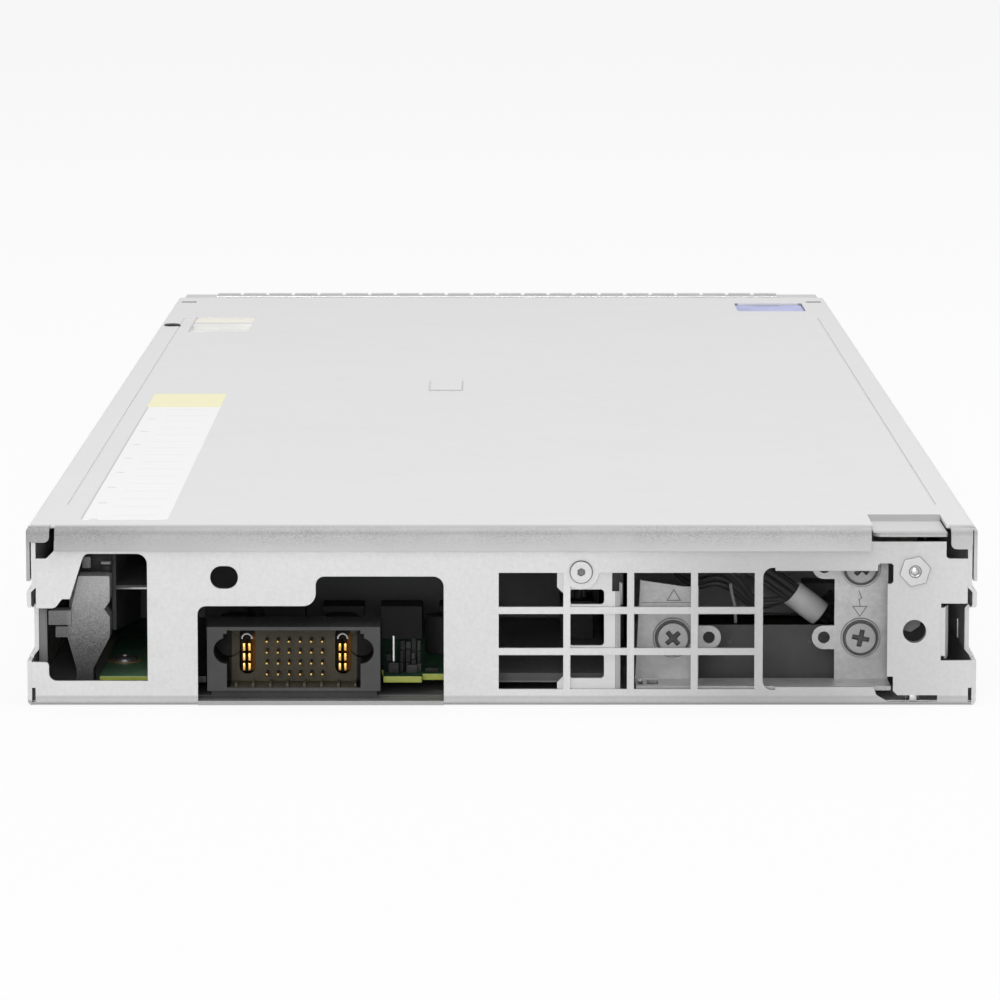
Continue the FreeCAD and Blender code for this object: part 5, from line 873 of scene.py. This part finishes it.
def insulating_films(black, dark, rim):
    """Black films under the board and over its edge, the floor film also standing in for the shade inside the
    closed tray, and the dark plate across the drive bay.
    """
    bm = bmesh.new()
    front = BOARD_STEP - 0.15
    back = BOARD_STEP - 0.03
    low = BOARD_LOW - 0.1
    # film on the floor, a dark sheet that also stands in for the shade inside the tray, and the one that
    # folds over the board's edge
    block(bm, at(-92.0, 8.0, FLOOR_TOP), at(27.5, 585.0, FLOOR_TOP + FILM_THICK))
    block(bm, at(FILM_LEFT, front, BOARD_TOP), at(FILM_RIGHT, 99.0, BOARD_TOP + FILM_THICK))
    block(bm, at(FILM_LEFT, front, low), at(FILM_RIGHT, back, BOARD_TOP))
    # plate with two dots
    plate_back = PLATE_FACE + 0.4
    block(bm, at(PLATE_LEFT, PLATE_FACE, FLOOR_TOP), at(PLATE_RIGHT, plate_back, PLATE_TOP), 0.05, slot=1)
    dot = [(0.0, 0.0), (0.0, 0.1), (0.55, 0.1), (0.6, 0.0)]
    for x, z in PLATE_DOTS:
        lathe(bm, dot, at(x, PLATE_FACE, z), FORWARD, 16)
    # pale rim below the folded film
    block(bm, at(FILM_LEFT, front - 0.1, low - 0.25), at(FILM_RIGHT, back, low), 0.0, slot=2)
    piece("insulating_films", bm, [black, dark, rim], "chassis")


def left_window_parts(bright, grey_moulding, black, pad, block_grey, dull):
    """Edge of the shelf, stubs and a web behind the guide block, a rail flange and a board screw."""
    bm = bmesh.new()
    block(bm, at(-88.9, SHELF_FRONT - 0.12, SHELF_LOW), at(-73.9, SHELF_FRONT, SHELF_LOW + 0.4), 0.04)
    # web behind the guide block, with two pale stubs and a dark one on it
    block(bm, at(-96.8, 12.2, 28.6), at(-89.4, 12.8, 33.2), 0.1, slot=2)
    block(bm, at(-96.2, 11.2, 29.9), at(-94.2, 12.3, 32.6), 0.3, slot=1)
    block(bm, at(-91.9, 11.2, 30.8), at(-89.7, 12.3, 31.5), 0.15, slot=1)
    block(bm, at(-91.9, 11.6, 28.7), at(-89.7, 12.3, 30.6), 0.15, slot=2)
    # arm at the block's left, and the rail flange beyond it
    block(bm, at(-99.2, 10.4, 20.2), at(-95.0, 12.0, 27.4), 0.2, slot=4)
    block(bm, at(-105.8, 6.2, 8.0), at(-103.9, 6.8, 21.4), 0.1, slot=5)
    # screw of the board, on its bare ring
    screw = at(*BOARD_SCREW, BOARD_TOP)
    lathe(bm, [(2.9, 0.0), (2.9, 0.08), (4.0, 0.08), (4.0, 0.0)], screw, UPWARD, slot=3)
    head = [(0.0, 0.6), (0.9, 0.6), (1.1, 1.2), (2.2, 1.15), (2.75, 0.6), (2.75, 0.0), (0.0, 0.0)]
    lathe(bm, head, screw, UPWARD)
    materials = [bright, grey_moulding, black, pad, block_grey, dull]
    piece("left_window_parts", bm, materials, "chassis")


def header_parts(chip, grey_moulding):
    """Crowd of small parts on the board beside the upright pin."""
    bm = bmesh.new()
    shuffle = random.Random(4)
    for column in range(4):
        for row in range(3):
            x = HEADER_CORNER[0] + HEADER_PITCH[0] * column
            d = HEADER_CORNER[1] + HEADER_PITCH[1] * row
            top = 7.6 + 2.2 * row + shuffle.uniform(-0.5, 0.7)
            width = shuffle.uniform(0.7, 1.1)
            tone = shuffle.choice((0, 0, 1))
            block(bm, at(x, d, BOARD_TOP), at(x + width, d + 1.2, top), 0.1, slot=tone)
    # three lone parts round the crowd
    block(bm, at(-21.9, 13.2, BOARD_TOP), at(-19.4, 14.9, 7.2), 0.12, slot=1)
    block(bm, at(-26.6, 15.0, BOARD_TOP), at(-25.4, 17.0, 9.5), 0.12)
    block(bm, at(-17.6, 14.6, BOARD_TOP), at(-14.6, 17.0, 6.3), 0.1)
    piece("header_parts", bm, [chip, grey_moulding], "chassis")


def socket_parts(bright, plastic):
    """Contact arches over the power blades, and ribs on the socket's lower lip."""
    bm = bmesh.new()
    for x in BLADE_MIDDLES:
        turns = [math.radians(15 * i) for i in range(13)]
        arch = [at(x + 1.15 * math.cos(turn), 9.4, 13.9 + 1.2 * math.sin(turn)) for turn in turns]
        tube(bm, arch, 0.24, 8)
    for rib in range(SOCKET_RIBS):
        x = SOCKET_RIB_FIRST + SOCKET_RIB_PITCH * rib
        block(bm, at(x, 3.0, 3.6), at(x + 0.6, 9.0, 4.5), 0.1, slot=1)
    piece("socket_parts", bm, [bright, plastic], "chassis")


def small_springs(bright, black, zinc):
    """Coil and tooth in the foot gap, clip at the partition with black blocks of painted shade in its upper
    corner, and spring in the right rail notch.
    """
    bm = bmesh.new()
    coil = []
    for step in range(61):
        turn = math.radians(24 * step)
        x = 91.6 + 0.95 * turn / math.pi / 2
        coil.append(at(x, 2.4 + 0.7 * math.cos(turn), 1.6 + 0.6 * math.sin(turn)))
    tube(bm, coil, 0.14, 6)
    block(bm, at(92.9, 0.15, 1.1), at(94.5, 0.85, 2.45), 0.1, slot=2)
    # clip at the partition's edge, and the rail notch's spring
    block(bm, at(26.9, 2.0, 22.8), at(27.5, 2.5, 27.9), 0.1)
    block(bm, at(26.2, 1.6, 24.9), at(27.0, 2.4, 25.8), 0.1)
    block(bm, at(104.1, 6.6, 14.6), at(104.4, 7.0, 19.0), 0.08)
    # black blocks in the partition's upper corner: painted shade of the notch there
    block(bm, at(25.1, 0.85, 26.1), at(26.75, 1.05, 30.3), 0.05, slot=1)
    block(bm, at(26.7, 0.85, 28.2), at(27.6, 1.05, 30.3), 0.05, slot=1)
    piece("small_springs", bm, [bright, black, zinc], "chassis")


def notch_flange(zinc, dull):
    """Flange folded back from the right rail notch, and the tab seen through the guide hole."""
    bm = bmesh.new()
    block(bm, at(100.7, 1.05, 10.6), at(101.3, 2.2, 22.6), 0.1)
    block(bm, at(101.4, 3.4, 10.6), at(101.8, 9.0, 22.6), 0.1)
    tab = ((-2.6, 0.3), (-0.9, 2.1), (2.1, 1.3), (1.6, 0.1), (-0.4, -1.2), (-2.1, -0.7))
    hole_x, hole_z = GUIDE_HOLE
    prism(bm, [at(hole_x + x, 7.0, hole_z + z) for x, z in tab], BACKWARD * 0.8 * MM, slot=1)
    piece("notch_flange", bm, [zinc, dull], "chassis")


def panel_screws(material):
    """Screws of the far panel."""
    bm = bmesh.new()
    profile = [(0.0, 0.3), (0.8, 0.3), (1.0, 0.8), (2.1, 0.75), (2.6, 0.35), (2.6, 0.0), (0.0, 0.0)]
    for x, z in PANEL_SCREWS:
        lathe(bm, profile, at(x, PANEL_FACE, z), BACKWARD, 24)
    piece("panel_screws", bm, [material], "chassis")


def jack_contacts(gold):
    """Eight sprung wires in each network socket."""
    bm = bmesh.new()
    for middle in JACK_MIDDLES:
        for wire in range(JACK_WIRES):
            x = middle + JACK_WIRE_FIRST + JACK_WIRE_PITCH * wire
            line = [at(x, PANEL_FACE - deep, z) for deep, z in JACK_WIRE_LINE]
            tube(bm, line, 0.17, 6)
    piece("jack_contacts", bm, [gold], "chassis")


def video_core(plastic, gold):
    """Plastic core of the video socket, with three rows of gold sleeves."""
    bm = bmesh.new()
    middle, height, half, tall = VIDEO_CORE
    outline = []
    for side, end in ((1, 1), (-1, 1), (-1, -1), (1, -1)):
        wide = half if end > 0 else half - 1.2
        corners = [(wide, tall - 0.8), (wide - 0.8, tall)]
        for x, z in corners if side * end > 0 else reversed(corners):
            outline.append(at(middle + side * x, PANEL_FACE - 0.05, height + end * z))
    prism(bm, outline, BACKWARD * 2.1 * MM)
    sleeve = [(0.28, 0.0), (0.28, 0.1), (0.5, 0.1), (0.5, 0.0)]
    for row in (-1, 0, 1):
        for column in range(5):
            place = at(middle + 2.2 * (column - 2) + 0.5 * row, PANEL_FACE + 2.0, height + 1.9 * row)
            lathe(bm, sleeve, place, BACKWARD, 12, slot=1)
    piece("video_core", bm, [plastic, gold], "chassis")


def smooth_line(name, route):
    """Points along a smooth curve, read from a spline on its route."""
    data = bpy.data.curves.new(name, "CURVE")
    data.dimensions = "3D"
    spline = data.splines.new("NURBS")
    spline.points.add(len(route) - 1)
    for point, place in zip(spline.points, route):
        point.co = (*at(*place), 1.0)
    spline.order_u = 3
    spline.use_endpoint_u = True
    spline.resolution_u = 12
    guide = bpy.data.objects.new(name, data)
    line = bpy.data.meshes.new_from_object(guide)
    points = [vert.co.copy() for vert in line.vertices]
    bpy.data.objects.remove(guide)
    bpy.data.meshes.remove(line)
    return points


def drive_loom(material, tie):
    """Seven black wires twisted loosely together, strands bowed out before the sleeve, and a tie's tail."""
    points = smooth_line("loom_route", LOOM_ROUTE)
    bm = bmesh.new()
    offsets = [(0.0, 0.0)] + [(WIRE_REACH * MM, math.radians(60 * i)) for i in range(6)]
    last = len(points) - 1
    for reach, first in offsets:
        strand = []
        for i, point in enumerate(points):
            tangent = (points[min(i + 1, last)] - points[max(i - 1, 0)]).normalized()
            across = tangent.cross(Vector((0.2, 1.0, 0.1))).normalized()
            other = tangent.cross(across)
            turn = first + LOOM_TWIST * i / last
            strand.append(point + (across * math.cos(turn) + other * math.sin(turn)) * reach)
        tube(bm, strand, WIRE_RADIUS)
    bowed = smooth_line("strand_route", STRAND_ROUTE)
    share = [math.sin(math.pi * i / (len(bowed) - 1)) for i in range(len(bowed))]
    for inwards, up in STRANDS:
        shift = Vector((0, inwards * MM, up * MM))
        tube(bm, [point + shift * part for point, part in zip(bowed, share)], STRAND_RADIUS)
    tube(bm, smooth_line("tie_route", TIE_ROUTE), TIE_RADIUS, 8, slot=1)
    loom = piece("drive_loom", bm, [material, tie], "chassis")
    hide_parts("drive_cable")


def tag_sleeve(material):
    """White sleeve round the loom, slightly swollen in its middle and open at both ends."""
    bm = bmesh.new()
    wall = [(2.7, -4.1), (2.95, -4.2), (3.1, -4.0), (3.16, 0.0), (3.1, 4.0), (2.95, 4.2), (2.7, 4.1)]
    lathe(bm, wall, at(*SLEEVE_MIDDLE), Vector(SLEEVE_RUN), 40)
    sleeve = piece("tag_sleeve", bm, [material], "chassis")
    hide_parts("cable_tag_sleeve")


def add_camera():
    """Camera at the photograph's viewing angle."""
    data = bpy.data.cameras.new("camera")
    data.lens = LENS
    data.sensor_width = SENSOR
    camera = bpy.data.objects.new("camera", data)
    camera.location = CAMERA_PLACE
    camera.rotation_euler = (math.radians(CAMERA_TILT), 0, 0)
    bpy.context.scene.collection.objects.link(camera)
    bpy.context.scene.camera = camera


def add_floor():
    """Pale floor that reads as white and keeps a soft shadow."""
    bm = bmesh.new()
    bmesh.ops.create_grid(bm, x_segments=2, y_segments=2, size=FLOOR_HALF)
    mesh = bpy.data.meshes.new("floor")
    bm.to_mesh(mesh)
    bm.free()
    floor = bpy.data.objects.new("floor", mesh)
    bpy.context.scene.collection.objects.link(floor)
    material = bpy.data.materials.new("floor")
    material.use_nodes = True
    tree = Nodes(material.node_tree)
    tree.tree.nodes.clear()
    path = tree.add("ShaderNodeLightPath").outputs
    mirrored = tree.math("MAXIMUM", path["Is Glossy Ray"], path["Is Transmission Ray"])
    shown = tree.math("MAXIMUM", path["Is Camera Ray"], mirrored)
    diffuse = tree.add("ShaderNodeBsdfDiffuse", Color=(0.92, 0.92, 0.92, 1))
    glow = tree.add("ShaderNodeEmission")
    mix = tree.add("ShaderNodeMixShader", Fac=tree.both(shown, FLOOR_GLOW))
    tree.feed(mix.inputs[1], diffuse.outputs[0])
    tree.feed(mix.inputs[2], glow.outputs[0])
    tree.add("ShaderNodeOutputMaterial", Surface=mix.outputs[0])
    mesh.materials.append(material)
    floor.location.z = -FLOOR_DROP * MM


def add_world():
    """White surroundings: softer as light, and greyer behind the camera where metal mirrors them."""
    world = bpy.data.worlds.new("studio")
    world.use_nodes = True
    bpy.context.scene.world = world
    tree = Nodes(world.node_tree)
    path = tree.add("ShaderNodeLightPath").outputs
    seen = tree.math("MAXIMUM", path["Is Camera Ray"], path["Is Transmission Ray"])
    direction = tree.add("ShaderNodeTexCoord").outputs["Generated"]
    mirrored = tree.span(tree.axis("Y", direction), -0.9, 0.25, DIM_MIRROR - SOFT_LIGHT, 1.0 - SOFT_LIGHT)
    level = tree.math("ADD", tree.both(seen, 1.0 - SOFT_LIGHT), tree.both(path["Is Glossy Ray"], mirrored))
    background = world.node_tree.nodes["Background"]
    tree.feed(background.inputs["Strength"], tree.math("ADD", level, SOFT_LIGHT))
    background.inputs["Color"].default_value = (1, 1, 1, 1)


def add_lamp(name, place, target, size, power):
    """Soft square lamp aimed at a point."""
    data = bpy.data.lights.new(name, "AREA")
    data.size = size
    data.energy = power
    lamp = bpy.data.objects.new(name, data)
    lamp.location = place
    lamp.rotation_euler = (Vector(target) - Vector(place)).to_track_quat("-Z", "Y").to_euler()
    bpy.context.scene.collection.objects.link(lamp)


def light_scene():
    """Plain view, white surroundings and four soft lamps."""
    bpy.context.scene.view_settings.view_transform = "Standard"
    add_world()
    add_lamp("key", (-0.9, -1.7, 1.9), (0, -0.25, 0), size=1.4, power=11)
    add_lamp("fill", (1.3, -1.2, 1.3), (0, -0.2, 0), size=1.2, power=5)
    add_lamp("front", (-0.15, -2.2, 0.42), (0, -0.3, 0.02), size=0.7, power=12)
    add_lamp("top", (0.2, 0.1, 2.2), (0, 0, 0.04), size=1.6, power=16)


def build_pieces(materials):
    """Everything that is added to the CAD pieces."""
    black = materials["black_plastic"]
    bright = materials["bright_steel"]
    dark = sheet("shadow_line", 0.12, 0.5).material
    cover_label()
    cover_screw(black)
    screw_rings(materials["bracket_sheet"], dark)
    standoff_thread(bright, dark)
    bracket_marks()
    flange = sheet("flange_zinc", 0.30, metallic=0.5).material
    films = [plain_plastic(name, grey(level), 0.6, specular=0.2) for name, level in FILMS]
    insulating_films(*films)
    stubs = plain_plastic("stub_plastic", grey(0.3))
    pad = plain_plastic("bare_pad", (0.42, 0.24, 0.10), 0.4)
    dim_steel = sheet("dim_steel", 0.3, 0.4).material
    dull = sheet("dull_tab", 0.16, 0.5, metallic=0.4).material
    left_window_parts(dim_steel, stubs, black, pad, materials["grey_plastic"], dull)
    header_parts(materials["chip_package"], plain_plastic("lone_block", grey(0.045), 0.6, specular=0.2))
    socket_parts(bright, materials["socket_plastic"])
    small_springs(flange, black, materials["zinc_sheet"])
    notch_flange(flange, dull)
    panel_screws(bright)
    jack_contacts(materials["gold_contact"])
    video_core(black, materials["gold_contact"])
    tag_sleeve(materials["white_sleeve"])
    drive_loom(materials["cable_jacket"], plain_plastic("tie_plastic", grey(0.45)))


add_camera()
light_scene()
add_floor()
materials = make_materials()
slope_rib()
dress_nodes(materials)
build_pieces(materials)
